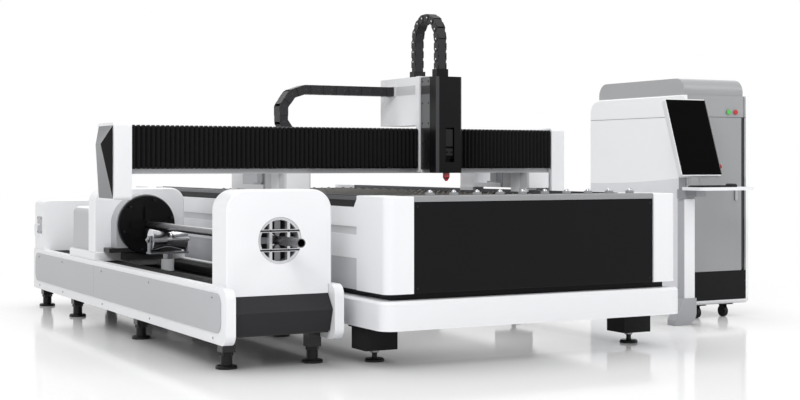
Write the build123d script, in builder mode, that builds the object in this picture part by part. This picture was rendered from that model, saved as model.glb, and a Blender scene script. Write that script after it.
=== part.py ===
# Fiber laser cutting machine: a sheet bed with a gantry, a tube unit along its
# left side, a control cabinet and an operator console.
# Frame: +X along the gantry, +Y from the loading front to the rear, +Z up,
# origin on the floor at the centre of the whole footprint.
import math
import os

from build123d import *

# Fits and cuts shared by all pieces
running_gap = 0.05
seat_gap = 0.3
cut_over = 30

# Sheet bed
bed_width = 1962
bed_length = 4374
cover_depth = 60
post_width = 170
post_depth = 353
post_radius = 45
post_top = 923
post_bottom = 398
band_top = 362
band_bottom = 204
band_overhang = 27
band_radius = 75
band_edge = 14
wall_top = 893
well_side = 171
well_end = 137
ledge_depth = 55
panel_recess = 8
panel_edge = 5
notch_bottom = 855
notch_slant = 53
stripe_bottom = 704
stripe_top = 749
stripe_depth = 8
lower_zone_top = 573
lower_zone_depth = 5

# Slats and transfer balls
slat_top = 905
slat_height = 108
slat_thickness = 4
slat_pitch = 150
slat_play = 2.5
tooth_count = 12
tooth_depth = 28
strip_depth = 110
strip_height = 32
ball_count = 10
ball_end = 132.85
ball_radius = 15
ball_setback = 60
cup_radius = 25
cup_height = 16

# Feet of the sheet bed
foot_setback = 333
foot_rear_setback = 141
foot_count = 4
foot_inset = 102
bracket_width = 197
bracket_depth = 177
bracket_bottom = 70
bracket_flange = 12
flange_margin = 14
pad_radius = 55
pad_height = 18
pad_edge = 6
stud_radius = 15

# Guide rails and racks
rail_width = 35
rail_height = 28
rack_width = 25
rack_height = 22
rail_inset = 140
rack_spacing = 60

# Gantry beam
gantry_front = -846
beam_reach_left = 972
beam_reach_right = 16
beam_bottom = 1039
beam_top = 1340
beam_roof = 1322
beam_depth = 330
bellows_bottom = 1069
bellows_top = 1328
bellows_depth = 40
pleat_pitch = 30
pleat_depth = 18
flange_gap = 6
web_setback = 40
tray_reach = 148
tray_sheet = 5
tray_lip = 75

# Saddles and drive motors
saddle_width = 176
saddle_length = 906
saddle_bottom = 935
saddle_floor = 965
saddle_rear_block = 210
saddle_edge = 10
truck_width = 90
truck_length = 180
truck_inset = 20
truck_grip = 12
motor_size = 92
motor_height = 150
motor_flange = 12
motor_flange_margin = 14
motor_edge = 10
motor_cap_height = 34
motor_cap_size = 64

# End covers and cap of the gantry
end_cover_width = 108
end_cover_bottom = 888
end_cover_radius = 22
cap_bulge = 73
cap_rear_bulge = 20
cap_top_drop = 17
cap_bottom_rise = 7
cap_ridge = 1214

# Cross rails
cross_rail_height = 25
cross_rail_depth = 26
cross_rail_low = 1122
cross_rail_high = 1277

# Carriage
carriage_offset = 80
carriage_width = 205
carriage_top = 1667
carriage_bottom = 1042
plate_thickness = 39
plate_shoulder = 37
plate_edge = 4
carriage_clear = 12
carriage_cover_depth = 503
carriage_cover_radius = 14
cross_truck_height = 70
cross_truck_length = 150
slide_width = 189
slide_depth = 115
slide_bottom = 1062
slide_top = 1660
slide_edge = 3

# Head
head_cover_depth = 96
head_cover_bottom = 1040
head_cover_top = 1656
head_cover_wall = 6
head_cover_chamfer = 16
window_width = 64
window_bottom = 1110
window_top = 1330
head_plate = 8
head_body_width = 96
head_body_depth = 62
head_body_bottom = 1130
head_neck_radius = 30
head_collar_radius = 34
head_collar_height = 14
nozzle_radius = 22
nozzle_tip_radius = 7
nozzle_bore = 1.5
nozzle_top = 1046
nozzle_shoulder = 1012
nozzle_tip = 988

# Drag chains
chain_notch = 7
chain_notch_depth = 9
height_chain_width = 72
height_chain_thickness = 48
height_chain_radius = 150
height_chain_top = 2071
height_chain_inset = 48
height_chain_setback = 20
height_chain_pitch = 42
clip_height = 48
clip_margin = 6
cross_chain_width = 102
cross_chain_thickness = 61
cross_chain_radius = 161.75
cross_chain_upper = 1581.5
cross_chain_run = 646
cross_chain_lower_run = 798
cross_chain_pitch = 56
bracket_plate = 12
bracket_margin = 4

# Tube unit frame
tube_gap = 134
tube_half = 341
tube_front = -1952
tube_rear = 2142
cheek_width = 55
cheek_bottom = 144
cheek_top = 445
cheek_radius = 60
deck_height = 380
slab_bottom = 180
leg_size = 75
leg_inset = 88
leg_bottom = 90
leg_setback = 222
leg_pitch = 1471
leg_count = 3
leg_rear_inset = 62
tube_pad_radius = 59
tube_stud_radius = 32
tube_rail_offset = 215
tube_rail_width = 30
tube_rail_height = 22
side_panel_bottom = 205
side_panel_top = 414
side_panel_depth = 6
side_panel_radius = 60
side_panel_inset = 70
apron_sheet = 5
apron_top = 395
apron_fold = 310
apron_bottom = 190
apron_reach = 62
apron_return = 22

# Way covers of the tube unit
way_inner = 148
way_outer = 283
way_bottom = 404
way_top = 440
way_pitch = 40
way_depth = 18

# Front chuck
axis_height = 687
housing_front = -1871
housing_depth = 212
housing_width = 612
housing_top = 961
housing_radius = 115
housing_edge = 8
tongue_bottom = 395
tongue_play = 3
opening_radius = 127
rotor_wall = 16
rotor_inset = 6
bar_width = 16
bar_offset = 52
bar_depth = 34
jaw_width = 34
jaw_depth = 30
jaw_roller_radius = 14

# Rear chuck and its carriage
disc_front = 400
disc_radius = 198.5
disc_thickness = 24
disc_edge = 6
disc_bore = 30
hub_radius = 60
hub_length = 104
clamp_width = 44
clamp_depth = 28
clamp_reach = 120
boss_gap = 2
boss_half = 205
boss_depth = 128
boss_foot = 50
boss_foot_height = 30
base_half = 320
base_front = 548
base_length = 630
base_nose = 108
base_nose_half = 140
base_bottom = 446
base_top = 500
base_edge = 6
base_skirt = 10
base_truck_width = 70
base_truck_length = 150
base_truck_inset = 40
base_truck_grip = 14
rear_housing_depth = 140
rear_housing_top = 932
rear_housing_radius = 100
motor_cover_half = 292
motor_cover_top = 795
motor_cover_radius = 45

# End box
box_half = 331
box_depth = 288
box_top = 815
box_radius = 30
grip_length = 90
grip_width = 14
grip_reach = 26
grip_rise = 150

# Roller support and work tube
roller_place = -26
roller_drop = 82
roller_half = 115
roller_radius = 71.5
roller_waist = 48
roller_waist_half = 16
roller_pin = 10
roller_side_gap = 4
fork_wall = 10
fork_width = 90
fork_arm_width = 44
fork_base = 515
fork_top = 632
fork_sheet = 12
lift_radius = 30
lift_length = 76
sleeve_radius = 42
sleeve_height = 100
stock_radius = 24
stock_bore = 20
stock_front = -2146
stock_rear = 418

# Cabinet
cabinet_gap = 992
cabinet_width = 597
cabinet_front = -1056
cabinet_depth = 1116
cabinet_bottom = 95
cabinet_side_top = 1584
cabinet_top = 1703
cabinet_sheet = 30
cabinet_wall = 16
cabinet_pan = 32
cabinet_rear_radius = 105
cabinet_front_radius = 40
cap_inset = 10
cap_right_inset = 51
cap_rear_inset = 105
cap_radius = 90
fascia_bottom = 1433
fascia_depth = 22
door_gap = 3
door_thickness = 17
door_reveal = 27
door_bottom = 334
door_radius = 28
hinge_gap = 6
hinge_inset = 6
pin_radius = 2.5
pin_length = 12
pin_hole = 14
handle_place = 127
handle_bottom = 835
handle_height = 92
handle_width = 26
handle_depth = 14
handle_edge = 4
handle_stem_radius = 8
handle_stem = 16
button_height = 1468
start_place = 197
stop_place = 132
button_radius = 17.5
button_stem = 11
button_proud = 14
button_travel = 6
button_edge = 3
caster_inset_x = 175
caster_inset_y = 80
caster_radius = 40
caster_width = 28
caster_plate = 100
caster_plate_height = 6
caster_fork_wall = 4
caster_axle = 5

# Console
console_gap = 837
console_place = -1266
post_size_x = 97
post_size_y = 76
post_edge = 10
stand_height = 858
stand_foot_length = 180
stand_foot_height = 182
stand_foot_margin = 6
stand_foot_radius = 88
stand_toe = 36
spigot_radius = 30
spigot_length = 50
hub_radius_outer = 62
hub_bottom = 860
hub_height = 64
arm_width = 80
arm_height = 44
arm_reach = 96
ear_wall = 14
ear_radius = 22
tilt_pin_radius = 7.5
tilt_height = 1046
screen_width = 350
screen_height = 553
screen_depth = 38
screen_radius = 16
screen_lean = 19
screen_bezel = 6
screen_glass_depth = 4
screen_shift = 6
screen_forward = 160
screen_bottom = 1019
tilt_forward = 69
lug_half = 50
lug_depth = 34
tray_left = 111
tray_right = 352
tray_top = 934
tray_forward = 296
tray_depth = 222
tray_thickness = 14
tray_rim = 10
tray_rim_height = 8
tray_corner = 30
keyboard_length = 286
keyboard_depth = 130
keyboard_height = 14
keyboard_margin = 9
key_height = 5
key_gap = 4
key_columns = 14
key_rows = 5
mouse_length = 100
mouse_width = 60
mouse_height = 30
mouse_place = 84
estop_radius = 16
estop_neck = 9
estop_proud = 20
estop_rise = 60

# Places worked out from the sizes above
side_reach = bed_width / 2
beam_left = side_reach + beam_reach_left
beam_right = side_reach + beam_reach_right
tube_offset = side_reach + tube_gap + tube_half
cabinet_offset = side_reach + cabinet_gap + cabinet_width / 2
console_offset = side_reach + console_gap
left_reach = beam_left + end_cover_width + cap_bulge
right_reach = cabinet_offset + cabinet_width / 2
bed_x = (left_reach - right_reach) / 2
bed_front = -bed_length / 2
frame_width = bed_width - 2 * cover_depth
frame_length = bed_length - 2 * cover_depth
well_width = frame_width - 2 * well_side
well_length = frame_length - 2 * well_end
strip_length = bed_width - 2 * post_width
slat_bottom = slat_top - slat_height
tube_x = bed_x - tube_offset
cabinet_x = bed_x + cabinet_offset
carriage_x = bed_x + carriage_offset
carriage_left = carriage_x - carriage_width / 2
beam_rear = gantry_front + beam_depth
web_front = gantry_front + bellows_depth + flange_gap + web_setback

os.makedirs("parts", exist_ok=True)

# Bed frame: a welded box with a scrap well open below and ledges for the slats
with BuildPart() as bed_frame:
    with BuildSketch(Plane.XY.offset(band_bottom)):
        with Locations((bed_x, 0)):
            Rectangle(frame_width, frame_length)
    extrude(amount=wall_top - band_bottom)
    with BuildSketch(Plane.XY.offset(slat_bottom)):
        with Locations((bed_x, 0)):
            Rectangle(well_width + 2 * ledge_depth, well_length)
    extrude(amount=slat_height + cut_over, mode=Mode.SUBTRACT)
    with BuildSketch(Plane.XY.offset(band_bottom - cut_over)):
        with Locations((bed_x, 0)):
            Rectangle(well_width, well_length)
    extrude(amount=wall_top - band_bottom + cut_over, mode=Mode.SUBTRACT)
bed_frame.part.label = "bed_frame"
export_step(bed_frame.part, "parts/bed_frame.step")

# Base band: the white skirt round the foot of the frame
with BuildPart() as base_band:
    with BuildSketch(Plane.XY.offset(band_bottom)):
        with Locations((bed_x, 0)):
            RectangleRounded(bed_width + 2 * band_overhang, bed_length + 2 * band_overhang, band_radius)
    extrude(amount=band_top - band_bottom)
    chamfer(base_band.edges().group_by(Axis.Z)[-1], length=band_edge)
    with BuildSketch(Plane.XY.offset(band_bottom - cut_over)):
        with Locations((bed_x, 0)):
            Rectangle(frame_width, frame_length)
    extrude(amount=band_top - band_bottom + 2 * cut_over, mode=Mode.SUBTRACT)
base_band.part.label = "base_band"
export_step(base_band.part, "parts/base_band.step")

# Corner posts: folded covers that wrap the frame's corners and close over its top
with BuildPart() as corner_posts:
    with BuildSketch(Plane.XY.offset(post_bottom)):
        with Locations((bed_x, 0)):
            RectangleRounded(bed_width, bed_length, post_radius)
            Rectangle(bed_width - 2 * post_width, bed_length + cut_over, mode=Mode.SUBTRACT)
            Rectangle(bed_width + cut_over, bed_length - 2 * post_depth, mode=Mode.SUBTRACT)
    extrude(amount=post_top - post_bottom)
    with BuildSketch(Plane.XY.offset(post_bottom - cut_over)):
        with Locations((bed_x, 0)):
            Rectangle(frame_width, frame_length)
    extrude(amount=wall_top - post_bottom + cut_over, mode=Mode.SUBTRACT)
    fillet(corner_posts.edges().group_by(Axis.Z)[-1], radius=panel_edge)
corner_posts.part.label = "corner_posts"
export_step(corner_posts.part, "parts/corner_posts.step")

# Front panel: the black sheet between the front posts
with BuildPart() as front_panel:
    with BuildSketch(Plane.XZ.offset(-bed_front - panel_recess)):
        with Locations((bed_x, (post_bottom + wall_top) / 2)):
            Rectangle(bed_width - 2 * post_width, wall_top - post_bottom)
    extrude(amount=panel_recess - cover_depth)
    chamfer(front_panel.faces().sort_by(Axis.Y)[0].edges(), length=panel_edge)
front_panel.part.label = "front_panel"
export_step(front_panel.part, "parts/front_panel.step")

# Side and rear panels: long sheets with a notched top, a stripe and a set back foot
side_half = bed_length / 2 - post_depth
left_face = bed_x - bed_width / 2
with BuildPart() as side_panels:
    with BuildSketch(Plane.YZ.offset(left_face + panel_recess)):
        with BuildLine():
            Polyline(
                (-side_half, post_bottom),
                (-side_half, post_top),
                (notch_slant - side_half, notch_bottom),
                (side_half - notch_slant, notch_bottom),
                (side_half, post_top),
                (side_half, post_bottom),
                close=True,
            )
        make_face()
    extrude(amount=cover_depth - panel_recess)
    with BuildSketch(Plane.YZ.offset(left_face + panel_recess)):
        with Locations((0, (stripe_bottom + stripe_top) / 2)):
            Rectangle(2 * side_half + cut_over, stripe_top - stripe_bottom)
    extrude(amount=stripe_depth, mode=Mode.SUBTRACT)
    with BuildSketch(Plane.YZ.offset(left_face + panel_recess)):
        with Locations((0, (post_bottom + lower_zone_top) / 2)):
            Rectangle(2 * side_half + cut_over, lower_zone_top - post_bottom)
    extrude(amount=lower_zone_depth, mode=Mode.SUBTRACT)
    mirror(about=Plane.YZ.offset(bed_x))
    with BuildSketch(Plane.XZ.offset(bed_front + panel_recess)):
        with Locations((bed_x, (post_bottom + notch_bottom) / 2)):
            Rectangle(bed_width - 2 * post_width, notch_bottom - post_bottom)
    extrude(amount=cover_depth - panel_recess)
side_panels.part.label = "side_panels"
export_step(side_panels.part, "parts/side_panels.step")

# Ball strip: the gray loading edge with the cups of the transfer balls
ball_y = bed_front + ball_setback
strip_top = wall_top + strip_height
ball_pitch = (strip_length - 2 * ball_end) / (ball_count - 1)
ball_z = strip_top + cup_height
with BuildPart() as ball_strip:
    with BuildSketch(Plane.XY.offset(wall_top)):
        with Locations((bed_x, bed_front + panel_recess + strip_depth / 2)):
            Rectangle(strip_length, strip_depth)
    extrude(amount=strip_height)
    chamfer(ball_strip.edges().filter_by(Axis.X).group_by(Axis.Z)[-1], length=panel_edge)
    with BuildSketch(Plane.XY.offset(strip_top)):
        with Locations((bed_x, ball_y)):
            with GridLocations(ball_pitch, 0, ball_count, 1):
                Circle(cup_radius)
    extrude(amount=cup_height)
    with Locations((bed_x, ball_y, ball_z)):
        with GridLocations(ball_pitch, 0, ball_count, 1):
            Sphere(ball_radius + seat_gap, mode=Mode.SUBTRACT)
ball_strip.part.label = "ball_strip"
export_step(ball_strip.part, "parts/ball_strip.step")

with BuildPart() as transfer_balls:
    with Locations((bed_x, ball_y, ball_z)):
        with GridLocations(ball_pitch, 0, ball_count, 1):
            Sphere(ball_radius)
transfer_balls.part.label = "transfer_balls"
export_step(transfer_balls.part, "parts/transfer_balls.step")

# Cutting slats: toothed plates that stand across the well on its ledges
slat_length = well_width + 2 * ledge_depth - 2 * slat_play
tooth_pitch = slat_length / tooth_count
slat_count = int(well_length / slat_pitch)
tooth_line = [(-slat_length / 2, slat_bottom), (slat_length / 2, slat_bottom)]
for tooth in range(tooth_count):
    tooth_line.append((slat_length / 2 - tooth * tooth_pitch, slat_top - tooth_depth))
    tooth_line.append((slat_length / 2 - (tooth + 0.5) * tooth_pitch, slat_top))
tooth_line.append((-slat_length / 2, slat_top - tooth_depth))
with BuildPart() as slat:
    with BuildSketch(Plane.XZ.offset(-slat_thickness / 2)):
        with BuildLine():
            Polyline(*tooth_line, close=True)
        make_face()
    extrude(amount=slat_thickness)
with BuildPart() as cutting_slats:
    with Locations((bed_x, 0)):
        with GridLocations(0, slat_pitch, 1, slat_count):
            add(slat.part)
cutting_slats.part.label = "cutting_slats"
export_step(cutting_slats.part, "parts/cutting_slats.step")

# Foot brackets: box feet with a top flange, bolted under the frame
foot_x = bed_width / 2 - foot_inset
foot_pitch = (bed_length - foot_setback - foot_rear_setback) / (foot_count - 1)
foot_y = bed_front + foot_setback + foot_pitch * (foot_count - 1) / 2
with BuildPart() as foot_brackets:
    with BuildSketch(Plane.XY.offset(bracket_bottom)):
        with Locations((bed_x, foot_y)):
            with GridLocations(2 * foot_x, foot_pitch, 2, foot_count):
                Rectangle(bracket_width, bracket_depth)
    extrude(amount=band_bottom - bracket_bottom)
    with BuildSketch(Plane.XY.offset(band_bottom - bracket_flange)):
        with Locations((bed_x, foot_y)):
            with GridLocations(2 * foot_x, foot_pitch, 2, foot_count):
                Rectangle(bracket_width + 2 * flange_margin, bracket_depth + 2 * flange_margin)
    extrude(amount=bracket_flange)
foot_brackets.part.label = "foot_brackets"
export_step(foot_brackets.part, "parts/foot_brackets.step")

# Levelling feet: a stud on a round pad under each bracket and each leg
leg_x = tube_half - leg_inset
leg_first = tube_front + leg_setback
leg_places = []
for leg in range(leg_count):
    leg_places.append(leg_first + leg * leg_pitch)
leg_places.append(tube_rear - leg_rear_inset)
with BuildPart() as levelling_feet:
    with BuildSketch(Plane.XY):
        with Locations((bed_x, foot_y)):
            with GridLocations(2 * foot_x, foot_pitch, 2, foot_count):
                Circle(pad_radius)
        for leg_y in leg_places:
            with Locations((tube_x - leg_x, leg_y), (tube_x + leg_x, leg_y)):
                Circle(tube_pad_radius)
    extrude(amount=pad_height)
    chamfer(levelling_feet.edges().group_by(Axis.Z)[-1], length=pad_edge)
    with BuildSketch(Plane.XY.offset(pad_height)):
        with Locations((bed_x, foot_y)):
            with GridLocations(2 * foot_x, foot_pitch, 2, foot_count):
                Circle(stud_radius)
    extrude(amount=bracket_bottom - pad_height)
    with BuildSketch(Plane.XY.offset(pad_height)):
        for leg_y in leg_places:
            with Locations((tube_x - leg_x, leg_y), (tube_x + leg_x, leg_y)):
                Circle(tube_stud_radius)
    extrude(amount=leg_bottom - pad_height)
levelling_feet.part.label = "levelling_feet"
export_step(levelling_feet.part, "parts/levelling_feet.step")

# Guide rails and racks: on the bed's walls and on the deck of the tube unit
rail_half = bed_width / 2 - rail_inset
rail_length = 2 * side_half
deck_rail_front = housing_front + housing_depth
deck_rail_length = tube_rear - box_depth - deck_rail_front
with BuildPart() as guide_rails:
    with BuildSketch(Plane.XY.offset(wall_top)):
        with Locations((bed_x - rail_half, 0), (bed_x + rail_half, 0)):
            Rectangle(rail_width, rail_length)
    extrude(amount=rail_height)
    with BuildSketch(Plane.XY.offset(wall_top)):
        with Locations((bed_x - rail_half - rack_spacing, 0), (bed_x + rail_half + rack_spacing, 0)):
            Rectangle(rack_width, rail_length)
    extrude(amount=rack_height)
    with BuildSketch(Plane.XY.offset(deck_height)):
        with Locations((tube_x, deck_rail_front + deck_rail_length / 2)):
            with GridLocations(2 * tube_rail_offset, 0, 2, 1):
                Rectangle(tube_rail_width, deck_rail_length)
    extrude(amount=tube_rail_height)
guide_rails.part.label = "guide_rails"
export_step(guide_rails.part, "parts/guide_rails.step")

# Gantry beam: a closed box with a lip below the bellows and the chain tray behind
tray_floor = cross_chain_upper - 2 * cross_chain_radius - cross_chain_thickness / 2
lip_front = gantry_front + bellows_depth + flange_gap
with BuildPart() as gantry_beam:
    with BuildSketch(Plane.YZ.offset(bed_x - beam_left)):
        with BuildLine():
            Polyline(
                (lip_front, beam_bottom),
                (beam_rear, beam_bottom),
                (beam_rear, tray_floor - tray_sheet),
                (beam_rear + tray_reach, tray_floor - tray_sheet),
                (beam_rear + tray_reach, tray_floor + tray_lip),
                (beam_rear + tray_reach - tray_sheet, tray_floor + tray_lip),
                (beam_rear + tray_reach - tray_sheet, tray_floor),
                (beam_rear, tray_floor),
                (beam_rear, beam_roof),
                (web_front, beam_roof),
                (web_front, bellows_bottom),
                (lip_front, bellows_bottom),
                close=True,
            )
        make_face()
    extrude(amount=beam_left + beam_right)
gantry_beam.part.label = "gantry_beam"
export_step(gantry_beam.part, "parts/gantry_beam.step")

# Saddles: the gantry's feet, each on two bearing trucks that grip a guide rail
saddle_rear = gantry_front + saddle_length
rail_top = wall_top + rail_height
with BuildPart() as saddles:
    with BuildSketch(Plane.YZ.offset(left_face)):
        with BuildLine():
            Polyline(
                (gantry_front, saddle_bottom),
                (saddle_rear, saddle_bottom),
                (saddle_rear, beam_bottom),
                (saddle_rear - saddle_rear_block, beam_bottom),
                (saddle_rear - saddle_rear_block, saddle_floor),
                (beam_rear, saddle_floor),
                (beam_rear, beam_bottom),
                (gantry_front, beam_bottom),
                close=True,
            )
        make_face()
    extrude(amount=saddle_width)
    chamfer(saddles.edges().filter_by(Axis.Z).group_by(Axis.Y)[0], length=saddle_edge)
    chamfer(saddles.edges().filter_by(Axis.Z).group_by(Axis.Y)[-1], length=saddle_edge)
    with BuildSketch(Plane.XY.offset(rail_top - truck_grip)):
        with Locations(
            (bed_x - rail_half, gantry_front + truck_inset + truck_length / 2),
            (bed_x - rail_half, saddle_rear - truck_inset - truck_length / 2),
        ):
            Rectangle(truck_width, truck_length)
            Rectangle(rail_width + 2 * seat_gap, truck_length, mode=Mode.SUBTRACT)
    extrude(amount=saddle_bottom - rail_top + truck_grip)
    with BuildSketch(Plane.XY.offset(rail_top + seat_gap)):
        with Locations(
            (bed_x - rail_half, gantry_front + truck_inset + truck_length / 2),
            (bed_x - rail_half, saddle_rear - truck_inset - truck_length / 2),
        ):
            Rectangle(truck_width, truck_length)
    extrude(amount=saddle_bottom - rail_top - seat_gap)
    mirror(about=Plane.YZ.offset(bed_x))
saddles.part.label = "saddles"
export_step(saddles.part, "parts/saddles.step")

# Drive motors: one stands on each saddle behind the beam
motor_y = (beam_rear + saddle_rear - saddle_rear_block) / 2
motor_x = bed_width / 2 - saddle_width / 2
with BuildPart() as drive_motors:
    with BuildSketch(Plane.XY.offset(saddle_floor)):
        with Locations((bed_x - motor_x, motor_y), (bed_x + motor_x, motor_y)):
            Rectangle(motor_size + 2 * motor_flange_margin, motor_size + 2 * motor_flange_margin)
    extrude(amount=motor_flange)
    with BuildSketch(Plane.XY.offset(saddle_floor + motor_flange)):
        with Locations((bed_x - motor_x, motor_y), (bed_x + motor_x, motor_y)):
            RectangleRounded(motor_size, motor_size, motor_edge)
    extrude(amount=motor_height)
    with BuildSketch(Plane.XY.offset(saddle_floor + motor_flange + motor_height)):
        with Locations((bed_x - motor_x, motor_y), (bed_x + motor_x, motor_y)):
            RectangleRounded(motor_cap_size, motor_cap_size, motor_edge)
    extrude(amount=motor_cap_height)
drive_motors.part.label = "drive_motors"
export_step(drive_motors.part, "parts/drive_motors.step")

# End covers: white sheet boxes over both ends of the beam
left_end = bed_x - beam_left
right_end = bed_x + beam_right
with BuildPart() as end_covers:
    with BuildSketch(Plane.YZ.offset(left_end - end_cover_width)):
        with Locations(((gantry_front + beam_rear) / 2, (end_cover_bottom + beam_top) / 2)):
            RectangleRounded(beam_depth, beam_top - end_cover_bottom, end_cover_radius)
    extrude(amount=end_cover_width)
    with BuildSketch(Plane.YZ.offset(right_end)):
        with Locations(((gantry_front + beam_rear) / 2, (end_cover_bottom + beam_top) / 2)):
            RectangleRounded(beam_depth, beam_top - end_cover_bottom, end_cover_radius)
    extrude(amount=end_cover_width)
    fillet(end_covers.faces().sort_by(Axis.X)[-1].edges(), radius=end_cover_radius / 2)
end_covers.part.label = "end_covers"
export_step(end_covers.part, "parts/end_covers.step")

# End cap: a faceted cover on the left end that tapers towards the rear
cap_face = left_end - end_cover_width
cap_top = beam_top - cap_top_drop
cap_bottom = end_cover_bottom + cap_bottom_rise
with BuildPart() as end_cap:
    with BuildSketch(Plane.XZ.offset(-gantry_front - end_cover_radius)):
        with BuildLine():
            Polyline(
                (cap_face, cap_bottom),
                (cap_face, cap_top),
                (cap_face - cap_bulge, cap_ridge),
                close=True,
            )
        make_face()
    with BuildSketch(Plane.XZ.offset(end_cover_radius - beam_rear)):
        with BuildLine():
            Polyline(
                (cap_face, cap_bottom),
                (cap_face, cap_top),
                (cap_face - cap_rear_bulge, cap_ridge),
                close=True,
            )
        make_face()
    loft(ruled=True)
end_cap.part.label = "end_cap"
export_step(end_cap.part, "parts/end_cap.step")

# Cross rails: two rails on the web behind the bellows
with BuildPart() as cross_rails:
    for rail_z in (cross_rail_low, cross_rail_high):
        with BuildSketch(Plane.YZ.offset(left_end)):
            with Locations((web_front - cross_rail_depth / 2, rail_z)):
                Rectangle(cross_rail_depth, cross_rail_height)
        extrude(amount=beam_left + beam_right)
cross_rails.part.label = "cross_rails"
export_step(cross_rails.part, "parts/cross_rails.step")


# Pleated line from one place to another: peaks on the outer side, valleys one depth in
def pleat_points(start, end, pitch, outer, inner):
    folds = max(2, round(abs(end - start) / pitch))
    step = (end - start) / folds
    points = []
    for fold in range(folds):
        points.append((start + fold * step, inner))
        points.append((start + (fold + 0.5) * step, outer))
    points.append((end, inner))
    return points


# Bellows: pleated covers from the end covers to the carriage
bellows_back = gantry_front + bellows_depth
bellows_valley = gantry_front + pleat_depth
carriage_right = carriage_left + carriage_width
with BuildPart() as bellows_left:
    with BuildSketch(Plane.XY.offset(bellows_bottom)):
        with BuildLine():
            Polyline(
                (left_end, bellows_back),
                *pleat_points(left_end, carriage_left, pleat_pitch, gantry_front, bellows_valley),
                (carriage_left, bellows_back),
                close=True,
            )
        make_face()
    extrude(amount=bellows_top - bellows_bottom)
bellows_left.part.label = "bellows_left"
export_step(bellows_left.part, "parts/bellows_left.step")

with BuildPart() as bellows_right:
    with BuildSketch(Plane.XY.offset(bellows_bottom)):
        with BuildLine():
            Polyline(
                (carriage_right, bellows_back),
                *pleat_points(carriage_right, right_end, pleat_pitch, gantry_front, bellows_valley),
                (right_end, bellows_back),
                close=True,
            )
        make_face()
    extrude(amount=bellows_top - bellows_bottom)
bellows_right.part.label = "bellows_right"
export_step(bellows_right.part, "parts/bellows_right.step")

# Cross drag chain: from the carriage round a bend to the tray behind the beam
chain_y = beam_rear + (tray_reach - tray_sheet) / 2
chain_start = carriage_left - bracket_plate
chain_bend = chain_start - cross_chain_run
chain_lower = cross_chain_upper - 2 * cross_chain_radius
with BuildPart() as x_chain:
    with BuildLine() as cross_path:
        Line(
            (chain_start, chain_y, cross_chain_upper),
            (chain_bend, chain_y, cross_chain_upper),
        )
        ThreePointArc(
            (chain_bend, chain_y, cross_chain_upper),
            (chain_bend - cross_chain_radius, chain_y, cross_chain_upper - cross_chain_radius),
            (chain_bend, chain_y, chain_lower),
        )
        Line(
            (chain_bend, chain_y, chain_lower),
            (chain_bend + cross_chain_lower_run, chain_y, chain_lower),
        )
    with BuildSketch(Plane.YZ.offset(chain_start)):
        with Locations((chain_y, cross_chain_upper)):
            Rectangle(cross_chain_width, cross_chain_thickness)
    sweep(path=cross_path.wire())
    cross_links = int(cross_path.wire().length / cross_chain_pitch)
    link_shares = [(link + 0.5) / cross_links for link in range(cross_links)]
    cross_planes = [Plane(cross_path.wire() ^ share) for share in link_shares]
    for link_plane in cross_planes:
        with BuildSketch(link_plane):
            Rectangle(2 * cross_chain_width, 2 * cross_chain_width)
            Rectangle(
                cross_chain_width - 2 * chain_notch_depth,
                cross_chain_width - 2 * chain_notch_depth,
                mode=Mode.SUBTRACT,
            )
        extrude(amount=chain_notch, mode=Mode.SUBTRACT)
x_chain.part.label = "x_chain"
export_step(x_chain.part, "parts/x_chain.step")

# Carriage plate: stands in front of the beam and runs on the cross rails
plate_front = bellows_back - plate_thickness
plate_shoulder_z = beam_top + carriage_clear
cover_front = bellows_back + plate_shoulder
with BuildPart() as carriage_plate:
    with BuildSketch(Plane.YZ.offset(carriage_left)):
        with BuildLine():
            Polyline(
                (plate_front, carriage_bottom),
                (bellows_back, carriage_bottom),
                (bellows_back, plate_shoulder_z),
                (cover_front, plate_shoulder_z),
                (cover_front, carriage_top),
                (plate_front, carriage_top),
                close=True,
            )
        make_face()
    extrude(amount=carriage_width)
    chamfer(carriage_plate.edges().filter_by(Axis.Z).group_by(Axis.Y)[0], length=plate_edge)
    for rail_z in (cross_rail_low, cross_rail_high):
        with BuildSketch(Plane.XZ.offset(-bellows_back)):
            with Locations((carriage_x, rail_z)):
                Rectangle(cross_truck_length, cross_truck_height)
        extrude(amount=bellows_back - web_front + carriage_clear)
        with BuildSketch(Plane.XZ.offset(cross_rail_depth + seat_gap - web_front)):
            with Locations((carriage_x, rail_z)):
                Rectangle(cross_truck_length + cut_over, cross_rail_height + 2 * seat_gap)
        extrude(amount=-cross_rail_depth, mode=Mode.SUBTRACT)
carriage_plate.part.label = "carriage_plate"
export_step(carriage_plate.part, "parts/carriage_plate.step")

# Carriage cover: the white box over the beam that holds the drive and the wiring
with BuildPart() as carriage_cover:
    with BuildSketch(Plane.YZ.offset(carriage_left)):
        with Locations((cover_front + carriage_cover_depth / 2, (plate_shoulder_z + carriage_top) / 2)):
            Rectangle(carriage_cover_depth, carriage_top - plate_shoulder_z)
    extrude(amount=carriage_width)
    fillet(carriage_cover.faces().sort_by(Axis.Y)[-1].edges(), radius=carriage_cover_radius)
carriage_cover.part.label = "carriage_cover"
export_step(carriage_cover.part, "parts/carriage_cover.step")

# Height slide: the dark block in front of the plate that guides the head
slide_front = plate_front - slide_depth
slide_x = carriage_left + slide_width / 2
with BuildPart() as z_slide:
    with BuildSketch(Plane.XZ.offset(-plate_front)):
        with Locations((slide_x, (slide_bottom + slide_top) / 2)):
            Rectangle(slide_width, slide_top - slide_bottom)
    extrude(amount=slide_depth)
    chamfer(z_slide.edges().filter_by(Axis.Y), length=slide_edge)
z_slide.part.label = "z_slide"
export_step(z_slide.part, "parts/z_slide.step")

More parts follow.
